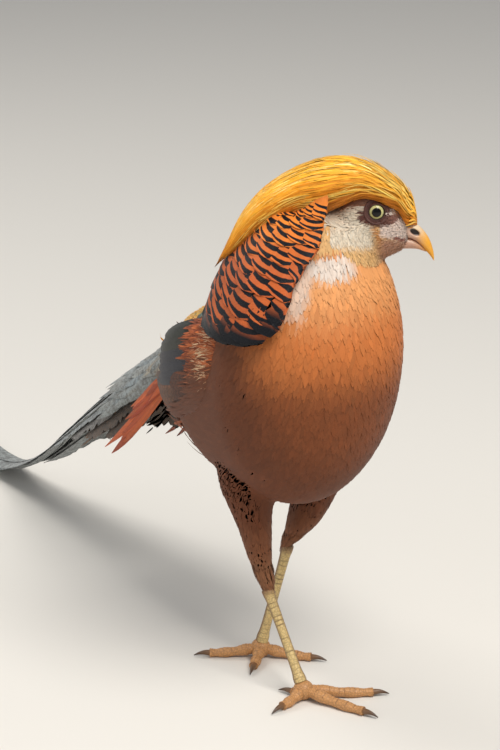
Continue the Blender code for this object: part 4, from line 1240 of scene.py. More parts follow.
class Lie:
    """The way that feathers lie at each face of the skin.

    Body, head and thighs each carry their own lines, from bill to tail and from belly to hock.
    A face takes the lines of the forms near it, each weighted by how close it is, so the lie
    turns smoothly where forms meet.
    """

    reach = 5.0
    farthest = 40.0
    smoothing = 10
    stray = 0.9
    edge_drop = 0.12

    def __init__(self, skin: bpy.types.Object) -> None:
        """Reads the skin's faces, smooths their normals and combs them.

        Args:
            skin: the skin's object.
        """
        mesh = skin.data
        self.ground = Ground(Skin.places(mesh), [tuple(face.vertices) for face in mesh.polygons])
        count = len(mesh.polygons)
        centre = np.empty(count * 3, dtype=np.float32)
        area = np.empty(count, dtype=np.float32)
        mesh.polygons.foreach_get("center", centre)
        mesh.polygons.foreach_get("area", area)
        corner = np.empty(len(mesh.vertices) * 3, dtype=np.float32)
        mesh.vertices.foreach_get("normal", corner)
        loops = np.empty(len(mesh.loops), dtype=np.int32)
        mesh.loops.foreach_get("vertex_index", loops)
        self.centre = (centre.reshape(-1, 3) - SHIFT) / MM
        self.area = area / MM**2
        quads = loops.reshape(count, -1)
        corner = corner.reshape(-1, 3).astype(float)
        for _ in range(self.smoothing):
            face = corner[quads].mean(axis=1)
            corner = np.zeros_like(corner)
            for column in range(quads.shape[1]):
                np.add.at(corner, quads[:, column], face)
            corner = unit(corner)
        self.normal = unit(corner[quads].mean(axis=1))
        self.flow, self.home = self.comb()

    def comb(self) -> tuple[Array, Array]:
        """Reads the lie and the place on the unwrap at each face.

        Returns:
            The direction and the unwrap's place at each face.
        """
        total = np.zeros_like(self.centre)
        home = np.zeros((len(self.centre), 2))
        nearest = np.full(len(self.centre), math.inf)
        forms = [(BodySurface(), -1.0, (0.02, 0.02, 0.62, 0.96)),
                 (HeadSurface(), -1.0, (0.66, 0.02, 0.32, 0.3))]
        forms += [(ThighSurface(rows), 1.0, (0.66, 0.36 + 0.3 * number, 0.32, 0.28))
                  for number, rows in enumerate(THIGHS.values())]
        for surface, way, (left, low, wide, high) in forms:
            rows, columns = FORM_GRID
            along, turn = lattice(np.linspace(0, 1, rows), corners_round(columns))
            points = surface.point(along, turn)
            lines = unit(np.gradient(points, axis=0) * way)[:-1].reshape(-1, 3)
            patch = np.stack((left + wide * turn / (2 * math.pi), low + high * along),
                             axis=-1)[:-1].reshape(-1, 2)
            tree = BVHTree.FromPolygons(points.reshape(-1, 3).tolist(),
                                        grid_faces(rows, columns, True).tolist())
            found = [tree.find_nearest(Vector(spot)) for spot in self.centre]
            face = np.array([spot[2] for spot in found])
            away = np.array([spot[3] for spot in found])
            weight = np.exp(-((np.minimum(away, self.farthest) / self.reach) ** 2)) + 1e-9
            total += lines[face] * weight[:, None]
            closer = away < nearest
            home[closer] = patch[face[closer]]
            nearest = np.minimum(nearest, away)
        return unit(total), home

    def ahead(self, face: Array, length: Array) -> Array:
        """Places the middle of a feather of the length that grows from each face."""
        return self.centre[face] + self.flow[face] * (length * 0.6)[:, None]

    def roots(self, count: int, density: Array, rng: np.random.Generator) -> Array:
        """Draws faces for even roots, in proportion to area times density.

        Args:
            count: how many to draw.
            density: weight of each place.
            rng: draws the variation.

        Returns:
            Numbers of the faces drawn.
        """
        weight = np.cumsum(self.area * density)
        marks = (np.arange(count) + rng.random(count)) / count * weight[-1]
        return np.minimum(np.searchsorted(weight, marks), len(weight) - 1)

    def lay(self, face: Array, length: Array, width: Array, rise: tuple[Array, Array], shape: tuple,
            thick: float,
            rng: np.random.Generator, sway: float = 0.1) -> Plume:
        """Lays a feather from each chosen face.

        The feather's middle line steps over the skin, each step along the lie there, and is
        then lifted from the skin by a height that rises from root to tip.

        Args:
            face: the faces that carry the roots.
            length, width: sizes of each feather.
            rise: height of root and tip over the skin, for each feather.
            shape: pairs of share along the feather and share of its width.
            thick: thickness at the root; the tip has a third of it.
            rng: draws the sway.
            sway: largest turn away from the lie, in radians.

        Returns:
            The batch, white, with its homes on the skin's unwrap.
        """
        share, wide = np.array(shape).T
        lean = rng.uniform(-sway, sway, len(face))
        stray = rng.uniform(-self.stray, self.stray, (len(face), 3))
        stray -= self.normal[face] * np.einsum("ij,ij->i", stray, self.normal[face])[:, None]
        spot = self.centre[face] + stray
        rows = []
        normals = []
        sides = []
        here = face
        way = None
        for step in range(len(share)):
            normal = self.normal[here]
            line = self.flow[here]
            line = unit(line - normal * np.einsum("ij,ij->i", line, normal)[:, None])
            side = np.cross(normal, line)
            line = line * np.cos(lean)[:, None] + side * np.sin(lean)[:, None]
            line = line if way is None else unit(line * 0.8 + way)
            way = line
            rows.append(spot)
            normals.append(normal)
            sides.append(unit(np.cross(normal, line)))
            if step + 1 < len(share):
                gap = (share[step + 1] - share[step]) * length
                after = spot + line * gap[:, None]
                found = [self.ground.tree.find_nearest(Vector(point)) for point in after]
                landed = np.array([item[0] for item in found])
                here = np.array([item[2] for item in found])
                stuck = np.einsum("ij,ij->i", landed - spot, line) < 0.5 * gap
                spot = np.where(stuck[:, None], after, landed)
        line = np.stack(rows, axis=1)
        normal = unit(np.stack(normals, axis=1))
        side = np.stack(sides, axis=1)
        low, high = (np.broadcast_to(value, (len(face),))[:, None] for value in rise)
        jitter = rng.uniform(-0.3, 0.3, len(face))[:, None]
        height = low + (high - low) * share**0.8 + jitter * (high - low) * share
        column = np.linspace(-1.0, 1.0, NARROW)
        half = width[:, None] * wide / 2
        grid = (line[:, :, None] + normal[:, :, None] * height[:, :, None, None]
                + side[:, :, None] * (half[:, :, None] * column)[..., None]
                - normal[:, :, None] * (self.edge_drop * half[:, :, None] * column**2)[..., None])
        thickness = np.broadcast_to(thick * (1.0 - TAPER * share), (len(face), len(share)))
        return Plume(grid, normal, thickness, np.ones((len(face), 3)), self.home[face])


@dataclass
class SkinCoat:
    """The coat of the skin: silky body feathers, short thigh feathers and fine tufts on the face."""

    body_count: int = 15000
    thigh_count: int = 3000
    face_count: int = 8200
    vent_count: int = 520
    tuft_count: int = 46
    cuff_count: int = 260
    skirt_count: int = 700
    bare: float = 6.6
    lie: Lie | None = None

    def regions(self) -> tuple[Array, Array, Array]:
        """Weighs each face of the skin as body, thigh and face.

        Returns:
            Three masks over the faces: body, thigh and face.
        """
        place = self.lie.centre
        ahead, _, z = HEAD.read(place)
        jaw = np.interp(ahead, (5, 20, 34, 50, 60), (322, 310, 303, 303, 308))
        face = (z > jaw) & (ahead > 4)
        thigh = (place[:, 2] < 138) & (np.abs(place[:, 0] - 6) < 46) & ~face
        return ~face & ~thigh, thigh, face

    def body(self, chosen: Array, rng: np.random.Generator) -> Plume:
        """Lays the body's feathers, long on the flanks and short on the neck.

        Args:
            chosen: which faces of the skin take part.
            rng: draws the variation.

        Returns:
            The batch, with its tints.
        """
        x, y, z = self.lie.centre.T
        hidden = (x > -112) & (x < 8) & (np.abs(y) > 32) & (z > 190) & (z < 232)
        density = np.where(hidden, 0.2, 1.0) * (1 + ease(285, 312, z) * 1.4) * chosen
        face = self.lie.roots(self.body_count, density, rng)
        place = self.lie.centre[face]
        z = place[:, 2]
        size = 10 + 13 * ease(322, 250, z) + rng.uniform(-2, 3, len(face))
        width = 2.0 + 3.0 * ease(322, 260, z) + rng.uniform(-0.5, 0.5, len(face))
        plume = self.lie.lay(face, size, width, (0.1, 1.1), SILKY, 0.12, rng, 0.09)
        plume.tint = varied(MARKINGS.body(self.lie.ahead(face, size)), rng, 0.06)
        return plume

    def thigh(self, chosen: Array, rng: np.random.Generator) -> Plume:
        """Lays the thighs' feathers, down towards the hocks.

        Args:
            chosen: which faces of the skin take part.
            rng: draws the variation.

        Returns:
            The batch, with its tints.
        """
        face = self.lie.roots(self.thigh_count, chosen * 1.0, rng)
        place = self.lie.centre[face]
        size = 8 + 8 * ease(80, 130, place[:, 2]) + rng.uniform(-1.5, 1.5, len(face))
        width = rng.uniform(2.4, 3.8, len(face))
        plume = self.lie.lay(face, size, width, (0.1, 0.8), SILKY, 0.12, rng, 0.12)
        plume.tint = varied(MARKINGS.body(self.lie.ahead(face, size)), rng, 0.07)
        return plume

    def face(self, chosen: Array, rng: np.random.Generator) -> Plume:
        """Lays the face's tufts, shortest at the bill and round the eye.

        Args:
            chosen: which faces of the skin take part.
            rng: draws the variation.

        Returns:
            The batch, with its tints.
        """
        ahead, side, z = HEAD.read(self.lie.centre)
        density = chosen * (1.0 + 0.8 * ease(20, 44, ahead))
        face = self.lie.roots(self.face_count, density, rng)
        ahead, side, z = ahead[face], side[face], z[face]
        size = 1.9 + 4.6 * ease(44, 16, ahead) + rng.uniform(-0.3, 0.6, len(face))
        reach = np.hypot(ahead - EYE_AHEAD, z - EYE_HEIGHT)
        tip = np.hypot(ahead - size * 0.7 - EYE_AHEAD, z - EYE_HEIGHT)
        keep = ((np.minimum(reach, tip) > self.bare) | (np.abs(side) < 7)) & (ahead < 56)
        face, size, ahead = face[keep], size[keep], ahead[keep]
        width = 0.75 + 0.35 * ease(44, 20, ahead) + rng.uniform(-0.1, 0.2, len(face))
        plume = self.lie.lay(face, size, width, (0.0, 0.95), TUFT, 0.12, rng, 0.25)
        plume.tint = varied(MARKINGS.face(self.lie.ahead(face, size)), rng, 0.08)
        return plume

    def vent(self, rng: np.random.Generator) -> Plume:
        """Lays the loose long feathers behind the belly and under the tail's root.

        Args:
            rng: draws the variation.

        Returns:
            The batch, with its tints.
        """
        x, _, z = self.lie.centre.T
        density = (ease(-50, -90, x) * ease(215, 190, z) + 0.2 * ease(-20, -60, x) * ease(170, 150, z))
        face = self.lie.roots(self.vent_count, density + 1e-9, rng)
        size = rng.uniform(18, 34, len(face))
        plume = self.lie.lay(face, size, rng.uniform(2, 4, len(face)), (0.8, rng.uniform(3, 7, len(face))),
                             SILKY,
                             0.25, rng, 0.3)
        plume.tint = varied(MARKINGS.body(self.lie.centre[face]), rng, 0.12)
        return plume

    def tufts(self, rng: np.random.Generator) -> list[Plume]:
        """Lays a stiff brown tuft on each side, behind the flank and below the wing's tip.

        Args:
            rng: draws the variation.

        Returns:
            The batches, with their tints.
        """
        batches = []
        for side in (-1, 1):
            away = np.linalg.norm(self.lie.centre - np.array((-58, side * 38, 172)), axis=1)
            face = self.lie.roots(self.tuft_count, ease(16, 4, away) + 1e-12, rng)
            count = len(face)
            plume = self.lie.lay(face, rng.uniform(15, 24, count), rng.uniform(2.0, 3.6, count),
                                 (0.3, rng.uniform(2, 8, count)), SILKY, 0.25, rng, 0.5)
            plume.tint = varied(np.tile(paint(142, 74, 40), (count, 1)), rng, 0.16)
            batches.append(plume)
        return batches

    def cuffs(self, rng: np.random.Generator) -> list[Plume]:
        """Lays the last feathers of each thigh, which run on over the hock.

        Args:
            rng: draws the variation.

        Returns:
            The batches, with their tints.
        """
        batches = []
        for rows in THIGHS.values():
            coat = Coat(ThighSurface(rows), 1.0)
            count = self.cuff_count
            along, turn = rng.uniform(0.72, 0.99, count), rng.uniform(-math.pi, math.pi, count)
            size = rng.uniform(7, 12, count)
            plume = coat.lay(along, turn, size, rng.uniform(1.0, 1.9, count), (-0.7, 0.5), SILKY, 0.12, rng,
                             0.12)
            plume.tint = varied(MARKINGS.body(coat.surface.point(along, turn)), rng, 0.08)
            batches.append(plume)
        return batches

    def skirt(self, rng: np.random.Generator) -> Plume:
        """Lays the belly's longest feathers, which hang over the tops of the thighs.

        Args:
            rng: draws the variation.

        Returns:
            The batch, with its tints.
        """
        x, y, z = self.lie.centre.T
        density = ease(128, 136, z) * ease(176, 160, z) * ease(52, 30, np.abs(x - 4)) * ease(4, 12, np.abs(y))
        face = self.lie.roots(self.skirt_count, density + 1e-9, rng)
        size = rng.uniform(16, 28, len(face))
        plume = self.lie.lay(face, size, rng.uniform(1.6, 3.2, len(face)),
                             (0.1, rng.uniform(0.6, 1.3, len(face))),
                             SILKY, 0.12, rng, 0.16)
        plume.tint = varied(MARKINGS.body(self.lie.centre[face]), rng, 0.1)
        return plume

    def build(self, rng: np.random.Generator) -> None:
        """Makes the pieces of body, thighs and face.

        Args:
            rng: draws the variation.
        """
        on_body, on_thigh, on_face = self.regions()
        silky = FeatherFinish("body feathers", 0.6, 7.0, 5.0, 0.1, 0.03, 0.06, 0.02, 0.00003, 0.1).make()
        batches = join_plumes([self.body(on_body, rng), self.vent(rng), self.skirt(rng), *self.tufts(rng)])
        Feathering("body_coat", Slot.BREAST, FLESH[:2], silky).grow(batches)
        thighs = join_plumes([self.thigh(on_thigh, rng), *self.cuffs(rng)])
        Feathering("thigh_coat", Slot.THIGH, FLESH[3:], silky).grow(thighs)
        fine = FeatherFinish("face feathers", 0.6, 4.0, 3.0, 0.08, 0.0, 0.08, 0.05, 0.00002, 0.08).make()
        Feathering("face_coat", Slot.FACE, ("head",), fine).grow(self.face(on_face, rng))


class CrestSurface(Surface):
    """The crest's outer form, a hood that widens back from the forehead and falls to a point."""

    sections = (
        (61, 330, 322.5, 4.0), (58, 341.5, 321.5, 7.6), (54, 348, 322.5, 10.2), (51, 351.2, 328, 11.3),
        (48, 354, 333.5, 12.4), (42, 358.2, 337, 14.0), (34, 363, 340.5, 15.6), (25, 366.6, 343, 17.2),
        (14, 368.5, 338.5, 18.5), (-2, 367, 332, 18.5), (-17, 361, 332, 17.5), (-31, 352.5, 325, 15.5),
        (-43, 342, 317, 12.5), (-53, 328, 309, 9), (-61, 311, 303, 4),
    )
    wrap = math.radians(105.0)

    def point(self, along: Array, turn: Array, rise: Array = 0.0) -> Array:
        """Places points: along from forehead to tip, turn from the ridge over the right side.

        Args:
            along: places along the form, from 0 to 1.
            turn: places round or across the form.
            rise: height over the form, in millimetres.

        Returns:
            Points on the form, on a new last axis.
        """
        ahead, top, under, width = np.moveaxis(self.track.at(along), -1, 0)
        wide = np.maximum(width + rise, 0.4)
        tall = np.maximum((top - under) / 2 + rise, 0.4)
        return HEAD.place(ahead, np.sin(turn) * wide, (top + under) / 2 + np.cos(turn) * tall)


@dataclass
class Crest:
    """The long silky crest: fine locks over a soft underlayer."""

    count: int = 3300
    stray_count: int = 260
    stray_front: int = 150

    def layer(self, count: int, depth: float, spread: float, rng: np.random.Generator) -> Plume:
        """Lays one layer of locks at a depth below the crest's form.

        Args:
            count: how many locks.
            depth: depth below the form.
            spread: largest turn of a lock.
            rng: draws the variation.

        Returns:
            The batch, with its tints.
        """
        surface = CrestSurface()
        coat = Coat(surface, 1.0, 0.0, 0.9)
        along, turn = coat.scatter(int(count * math.pi / surface.wrap), rng)
        ahead = surface.track.at(along)[..., 0]
        keep = np.abs(turn) < surface.wrap * np.interp(ahead, (-40, 0, 30, 50), (1.2, 1.3, 1.4, 1.5))
        along, turn, ahead = along[keep], turn[keep], ahead[keep]
        down, _ = coat.pace(along, turn)
        size = 8 + 36 * ease(62, 26, ahead) + rng.uniform(-4, 8, len(along))
        size = np.minimum(size, (1.03 + rng.uniform(-0.04, 0.04, len(along)) - along) * down)
        width = rng.uniform(1.1, 2.1, len(along)) * (0.55 + 0.45 * ease(62, 45, ahead))
        plume = coat.lay(along, turn, size, width, (-2.0 - depth, 0.6 - depth), LOCK, 0.5, rng, spread)
        # Locks near the ridge are lighter, and a random few near the ridge and front paler still: painted
        # highlight where light falls on the crest's top.
        ridge = ease(1.5, 0.4, np.abs(turn))
        gold = mix(paint(240, 148, 24), paint(254, 188, 58), rng.random(len(along)) * 0.6 + 0.4 * ridge)
        lit = ease(0.7, 1.0, rng.random(len(along))) * ridge * ease(-46, 0, ahead)
        pale = mix(gold, paint(255, 226, 140), lit)
        # Deeper orange on the lower sides and towards the rear tip: partly the locks' own orange, partly
        # painted shade.
        deeper_and_shaded = np.maximum(ease(1.0, 1.9, np.abs(turn)) * 0.65, ease(-20, -56, ahead) * 0.8)
        plume.tint = varied(mix(pale, paint(206, 112, 30), deeper_and_shaded), rng, 0.07)
        return plume

    def strays(self, rng: np.random.Generator) -> Plume:
        """Lays loose thin strands that stand off the forehead and the crest's lower edge.

        Args:
            rng: draws the variation.

        Returns:
            The batch, with its tints.
        """
        surface = CrestSurface()
        coat = Coat(surface, 1.0)
        count = self.stray_count
        front = np.arange(count) < self.stray_front
        along = np.where(front, rng.uniform(0.0, 0.3, count), rng.uniform(0.3, 0.9, count))
        turn = np.where(front, rng.uniform(-1.7, 1.7, count),
                        rng.choice((-1, 1), count) * rng.uniform(1.5, 2.0, count))
        size = np.where(front, rng.uniform(9, 17, count), rng.uniform(14, 26, count))
        plume = coat.lay(along, turn, size, rng.uniform(0.5, 1.0, count), (-0.5, 2.4), LOCK, 0.3, rng, 0.22)
        plume.tint = varied(mix(paint(246, 166, 36), paint(255, 214, 110), rng.random(count)), rng, 0.08)
        return plume

    def core(self, finish: bpy.types.Material) -> bpy.types.Object:
        """Closes the soft inner form under the locks.

        Args:
            finish: the material.

        Returns:
            The finished piece.
        """
        surface = CrestSurface()
        along, turn = lattice(np.linspace(0.0, 0.97, 70), corners_round(64))
        rings = surface.point(along, turn, -1.6)
        made = lathe_form("crest_core", rings, end_middles(rings))
        uv = made.data.uv_layers["Form"]
        uv.name = "Vane"
        set_plain_tint(made, paint(214, 128, 30))
        return take_over(made, Slot.CREST, finish, "crest")

    def build(self, rng: np.random.Generator) -> None:
        """Makes the layers of locks.

        Args:
            rng: draws the variation.
        """
        finish = FeatherFinish("crest feathers", 0.4, 10.0, 5.0, 0.12, 0.08, 0.2, 0.06, 0.00005, 0.1).make()
        self.core(finish)
        batches = [self.layer(self.count // 3, 3.0, 0.08, rng), self.layer(self.count, 0.0, 0.07, rng),
                   self.strays(rng)]
        Feathering("crest_lock", Slot.CREST, ("crest",), finish).grow(join_plumes(batches))


class CapeSurface(Surface):
    """The cape's outer form, read from an even grid of samples.

    A sample starts on a cone that spreads from under the crest, and is pushed out where the body
    or the head comes closer than the least room that the cape's layers need.
    """

    profile = (
        (20, 335, 27, 346), (35, 328, 30, 336), (47, 319, 32, 324), (57, 308, 35, 310), (65, 296, 39, 296),
        (71, 282, 44, 281), (75, 267, 49, 267), (76, 254, 53, 254),
    )
    edges = (math.radians(100.0), math.radians(66.0))
    back_rise = 26.0
    room = 6.5
    clear = 1.7
    reach = 60.0
    size = (61, 73)

    def __init__(self, ground: Ground) -> None:
        """Samples the cone and pushes it clear of the ground.

        Args:
            ground: what lies under the cape.
        """
        self.track = Track(self.profile)
        along = np.linspace(-0.05, 1.08, self.size[0])
        across = np.linspace(-1.1, 1.1, self.size[1])
        self.low = np.array((along[0], across[0]))
        self.span = np.array((along[-1] - along[0], across[-1] - across[0]))
        along, across = lattice(along, across)
        rim = self.rim(along, across, 0.0)
        outward = unit(self.rim(along, across, 1.0) - rim)
        lean = 1.8 * np.maximum(-across, 0.0) * along
        outward = unit(outward + lean[..., None] * np.array((0.0, 0.0, 1.0)))
        start = (rim + outward * self.reach).reshape(-1, 3)
        hit = ground.below(start, -outward.reshape(-1, 3)).reshape(along.shape)
        depth = hit - self.reach - self.clear
        push = np.maximum(self.room - depth, 0.0)
        for _ in range(3):
            padded = np.pad(push, 1, mode="edge")
            push = (padded[:-2, 1:-1] + padded[2:, 1:-1] + padded[1:-1, :-2] + padded[1:-1, 2:] + push
                    * 2) / 6
        self.samples = rim + outward * push[..., None]
        self.outward = outward

    def rim(self, along: Array, across: Array, height: float) -> Array:
        """Places points of the bare cone, across from its left edge to its right one.

        Args:
            along: places along the form, from 0 to 1.
            across: places from one edge to the other, -1 to 1.
            height: distance out from the cone.

        Returns:
            Points on the cone.
        """
        back, back_level, front, front_level = np.moveaxis(self.track.at(along), -1, 0)
        edge = self.edges[0] + (self.edges[1] - self.edges[0]) * np.clip(along, 0, 1)
        turn = across * edge
        blend = np.cos(np.clip(across, -1, 1) * math.pi / 2)
        reach = front + (back - front) * blend + height
        level = front_level + (back_level - front_level) * blend
        rise = self.back_rise * np.maximum(-across, 0.0) ** 1.2 * np.maximum(along, 0) ** 3
        return HEAD.place(-np.cos(turn) * reach, np.sin(turn) * reach, level + rise + 0.3 * height)

    def point(self, along: Array, turn: Array, rise: Array = 0.0) -> Array:
        """Reads the grid between its samples, by two straight blends.

        Args:
            along: places along the form, from 0 to 1.
            turn: places round or across the form.
            rise: height over the form, in millimetres.

        Returns:
            Points on the form, on a new last axis.
        """
        along, turn, rise = np.broadcast_arrays(along, turn, rise)
        turn = self.limit(along, turn)
        place = (np.stack((along, turn), axis=-1) - self.low) / self.span * (np.array(self.size) - 1)
        first = np.clip(place.astype(int), 0, np.array(self.size) - 2)
        share = np.clip(place - first, -1.0, 2.0)
        a, b = first[..., 0], first[..., 1]
        u, v = share[..., :1], share[..., 1:]

        def read(table: Array) -> Array:
            """Blends one table between four samples."""
            return ((table[a, b] * (1 - u) + table[a + 1, b] * u) * (1 - v)
                    + (table[a, b + 1] * (1 - u) + table[a + 1, b + 1] * u) * v)

        return read(self.samples) + read(self.outward) * rise[..., None]

    def limit(self, along: Array, turn: Array) -> Array:
        """Holds places inside the cape's front edges, which draw back below the cheek.

        Args:
            along: places along the form, from 0 to 1.
            turn: places round or across the form.

        Returns:
            The places across, held inside the edges.
        """
        edge = np.interp(along, (0.0, 0.35, 0.48, 0.6, 0.8, 1.0), (1.0, 1.0, 0.9, 0.9, 0.94, 0.93))
        edge = edge - 0.035 * np.abs(np.sin(along * 46.0 + 2.0 * np.sin(along * 17.0)))
        soft = edge - 0.08
        over = np.maximum(np.abs(turn) - soft, 0.0)
        held = np.minimum(np.abs(turn), soft) + 0.08 * (1.0 - np.exp(-over / 0.08))
        return np.sign(turn) * held


@dataclass(frozen=True)
class CapeFinish(FeatherFinish):
    """A cape feather: orange, crossed by two curved blue-black bars near its square end."""

    bars: tuple = ((0.935, 0.062), (0.715, 0.062), (0.49, 0.06))
    curve: float = 0.6
    ink: Colour = paint(7, 8, 15)

    def dress(self, tree: Tree, base: Socket) -> Socket:
        """Lays the bars over the streaked base.

        Args:
            tree: the material's tree.
            base: the feather's own colour.

        Returns:
            The new colour.
        """
        coloured = super().dress(tree, base)
        u, v = tree.uv("Vane")
        side = u - 0.5
        square = side * side
        wander = (tree.noise(tree.place(), 420.0, 3.0) - 0.5) * 0.035
        place = v + square * self.curve + wander
        mask = None
        for centre, half in self.bars:
            away = (place - centre).math("ABSOLUTE") + square * half * 2.4
            bar = 1.0 - away.between(half * 0.85, half * 1.15)
            mask = bar if mask is None else mask.math("MAXIMUM", bar)
        return tree.blend(mask, coloured, self.ink)


@dataclass
class Cape:
    """The cape: tiers of broad, square-ended, barred feathers, each over the next one."""

    gaps: tuple[float, float] = (0.1, 0.148)
    count: int = 11
    slope: float = 0.13
    bend: float = 0.2
    ground: Ground | None = None

    def foot(self, across: Array) -> Array:
        """Reads how far down the cape reaches: to its foot at the back, less at its front corners."""
        return 0.97 - 0.1 * ease(0.62, 0.95, np.abs(across))

    def build(self, rng: np.random.Generator) -> None:
        """Lays the tiers from top to foot, slanting down to the front, and a lining under them.

        A tier's tips lie at its own level plus the slope times the place across. Tips past the
        foot are drawn back to it and inked; feathers wholly past it are left out.

        Args:
            rng: draws the variation.
        """
        surface = CapeSurface(self.ground)
        coat = Coat(surface, 1.0)
        batches = []
        level = -0.12
        for number in range(16):
            gap = self.gaps[0] + (self.gaps[1] - self.gaps[0]) * min(max(level, 0.0), 1.0)
            level += gap
            across = (np.arange(self.count) + 0.5 * (1 + number % 2) - 0.25) / self.count * 2 - 1
            across = np.clip(across + rng.uniform(-0.03, 0.03, self.count), -0.97, 0.97)
            tip = level + self.slope * (np.abs(across) - 0.6) + rng.uniform(-0.18, 0.18, self.count) * gap
            foot = self.foot(across)
            keep = (tip > 0.02) & (tip < foot + gap * 0.75)
            if not keep.any():
                continue
            across, foot = across[keep], foot[keep]
            last = tip[keep] > foot - gap * 0.35
            tip = np.minimum(tip[keep], foot + rng.uniform(-0.008, 0.008, len(across)))
            reach = gap * rng.uniform(2.15, 2.4, len(across))
            along = tip - reach
            _, root_wide = coat.pace(along, across)
            width = 2 / self.count * 2.3 * root_wide
            shear = self.bend * np.sign(across) * ease(0.0, 0.25, np.abs(across))
            plume = coat.lay(along, across, reach, width, (-2.0, 0.2), CRESCENT, 0.4, rng, 0.04, 9, reach,
                             -0.6, 0.02, shear)
            top = mix(paint(244, 142, 50), paint(184, 90, 44), ease(0.1, 0.6, tip))
            tint = varied(mix(top, paint(206, 100, 40), rng.random(len(tip)) * 0.5), rng, 0.04)[:, None]
            share = np.array(CRESCENT)[:, 0]
            tint = tint * np.ones((1, len(share), 1))
            batches.append(plume)
            plume.tint = mix(tint, CapeFinish.ink, ease(0.72, 0.78, share)[None] * last[:, None])
        finish = CapeFinish("cape feathers", 0.45, 30.0, 8.0, 0.16, 0.05, 0.1, 0.06).make()
        Feathering("cape_feather", Slot.CAPE, ("cape",), finish).grow(join_plumes(batches))
        self.lining(surface)

    def lining(self, surface: CapeSurface) -> bpy.types.Object:
        """Closes a thin dark sheet under the feathers: painted shade for the gaps between them.

        Args:
            surface: the form to read or cover.

        Returns:
            The finished piece.
        """
        along, across = lattice(np.linspace(0.0, 0.86, 40), np.linspace(-0.86, 0.86, 61))
        outer = surface.point(along, across, -2.2)
        inner = surface.point(along, across, -4.0)
        rows, columns = along.shape
        sheet = grid_faces(rows, columns, False)
        edge = np.concatenate((np.arange(columns), np.arange(2, rows) * columns - 1,
                               np.arange(rows * columns - 1, (rows - 1) * columns - 1, -1),
                               np.arange(rows - 2, 0, -1) * columns))
        after = np.roll(edge, -1)
        count = rows * columns
        walls = np.stack((edge, edge + count, after + count, after), axis=-1)
        made = mesh_from("cape_lining", np.vstack((outer.reshape(-1, 3), inner.reshape(-1, 3))),
                         [sheet[:, ::-1], sheet + count, walls])
        uv = np.stack((across, along), axis=-1).reshape(-1, 2)
        set_uv(made, "Vane", np.vstack((uv, uv)))
        # The sheet's dark brown and its finish named down are painted shade seen through the gaps between the
        # cape's feathers.
        set_tint(made, np.full((2 * count, 3), paint(150, 76, 34)))
        finish = FeatherFinish("down", 0.8, 60.0, 4.0, 0.3, 0.0, 0.0).make()
        return take_over(made, Slot.CAPE, finish, "cape")


@dataclass(frozen=True)
class ScaleFinish(FeatherFinish):
    """A rounded feather with a dark rim, which makes a scaly pattern where many overlap."""

    rim: Colour = paint(10, 14, 16)
    rim_width: float = 0.1

    def dress(self, tree: Tree, base: Socket) -> Socket:
        """Darkens the rim of the streaked base.

        Args:
            tree: the material's tree.
            base: the feather's own colour.

        Returns:
            The new colour.
        """
        coloured = super().dress(tree, base)
        u, v = tree.uv("Vane")
        side = (u - 0.5).math("ABSOLUTE")
        edge = side.between(0.5 - self.rim_width, 0.5).math("MAXIMUM", v.between(0.86, 0.93))
        return tree.blend(edge, coloured, self.rim)


@dataclass
class Back:
    """The upper side behind the cape: a scaly green mantle and a golden rump of fine feathers."""

    mantle_count: int = 420
    rump_count: int = 1300

    def build(self, rng: np.random.Generator) -> None:
        """Makes both parts.

        Args:
            rng: draws the variation.
        """
        surface = BodySurface()
        coat = Coat(surface, -1.0, 0.2, 0.47)
        along, turn = coat.scatter(self.mantle_count * 3, rng)
        keep = np.abs(turn) < 0.95
        along, turn = along[keep], turn[keep]
        count = len(along)
        plume = coat.lay(along, turn, rng.uniform(12, 15, count), rng.uniform(9, 12, count), (-0.4, 2.6),
                         ROUND, 0.4,
                         rng, 0.12, 5)
        plume.tint = varied(mix(MARKINGS.mantle, paint(44, 92, 50), rng.random(count)), rng, 0.12)
        finish = ScaleFinish("mantle feathers", 0.34, 24.0, 8.0, 0.3, 0.05, 0.2, 0.3).make()
        Feathering("mantle_coat", Slot.BREAST, ("torso",), finish).grow(plume)
        coat = Coat(surface, -1.0, 0.0, 0.25)
        along, turn = coat.scatter(self.rump_count * 3, rng)
        keep = np.abs(turn) < 1.15
        along, turn = along[keep], turn[keep]
        count = len(along)
        plume = coat.lay(along, turn, rng.uniform(16, 26, count), rng.uniform(1.8, 3.2, count), (-0.2, 3.2),
                         LOCK,
                         0.4, rng, 0.12)
        plume.tint = varied(mix(MARKINGS.rump, paint(240, 190, 70), rng.random(count)), rng, 0.1)
        finish = FeatherFinish("rump feathers", 0.45, 26.0, 5.0, 0.25, 0.05, 0.3, 0.35).make()
        Feathering("rump_coat", Slot.BREAST, ("torso",), finish).grow(plume)


@dataclass
class WingSurface(Surface):
    """One folded wing's outer form; side is 1 for the left wing and -1 for the right."""

    side: int
    sections = (
        (34, 252, 222, 46), (24, 258, 208, 55), (2, 260, 194, 60.5), (-28, 250, 184, 60), (-56, 238, 175, 56),
        (-82, 226, 168, 46.5), (-106, 213, 167, 35), (-126, 201, 172, 24),
    )
    depth = 12.0

    def __post_init__(self) -> None:
        """Reads the sections as a curve."""
        self.track = Track(self.sections)

    def point(self, along: Array, turn: Array, rise: Array = 0.0) -> Array:
        """Places points: along from shoulder to wing tip, turn from the upper edge down, -1 to 1.

        Args:
            along: places along the form, from 0 to 1.
            turn: places round or across the form.
            rise: height over the form, in millimetres.

        Returns:
            Points on the form, on a new last axis.
        """
        x, top, bottom, out = np.moveaxis(self.track.at(along), -1, 0)
        angle = turn * math.pi / 2
        y = self.side * (out - self.depth + np.cos(angle) * (self.depth + rise))
        z = (top + bottom) / 2 - np.sin(angle) * ((top - bottom) / 2 + rise)
        return np.stack(np.broadcast_arrays(x, y, z), axis=-1)


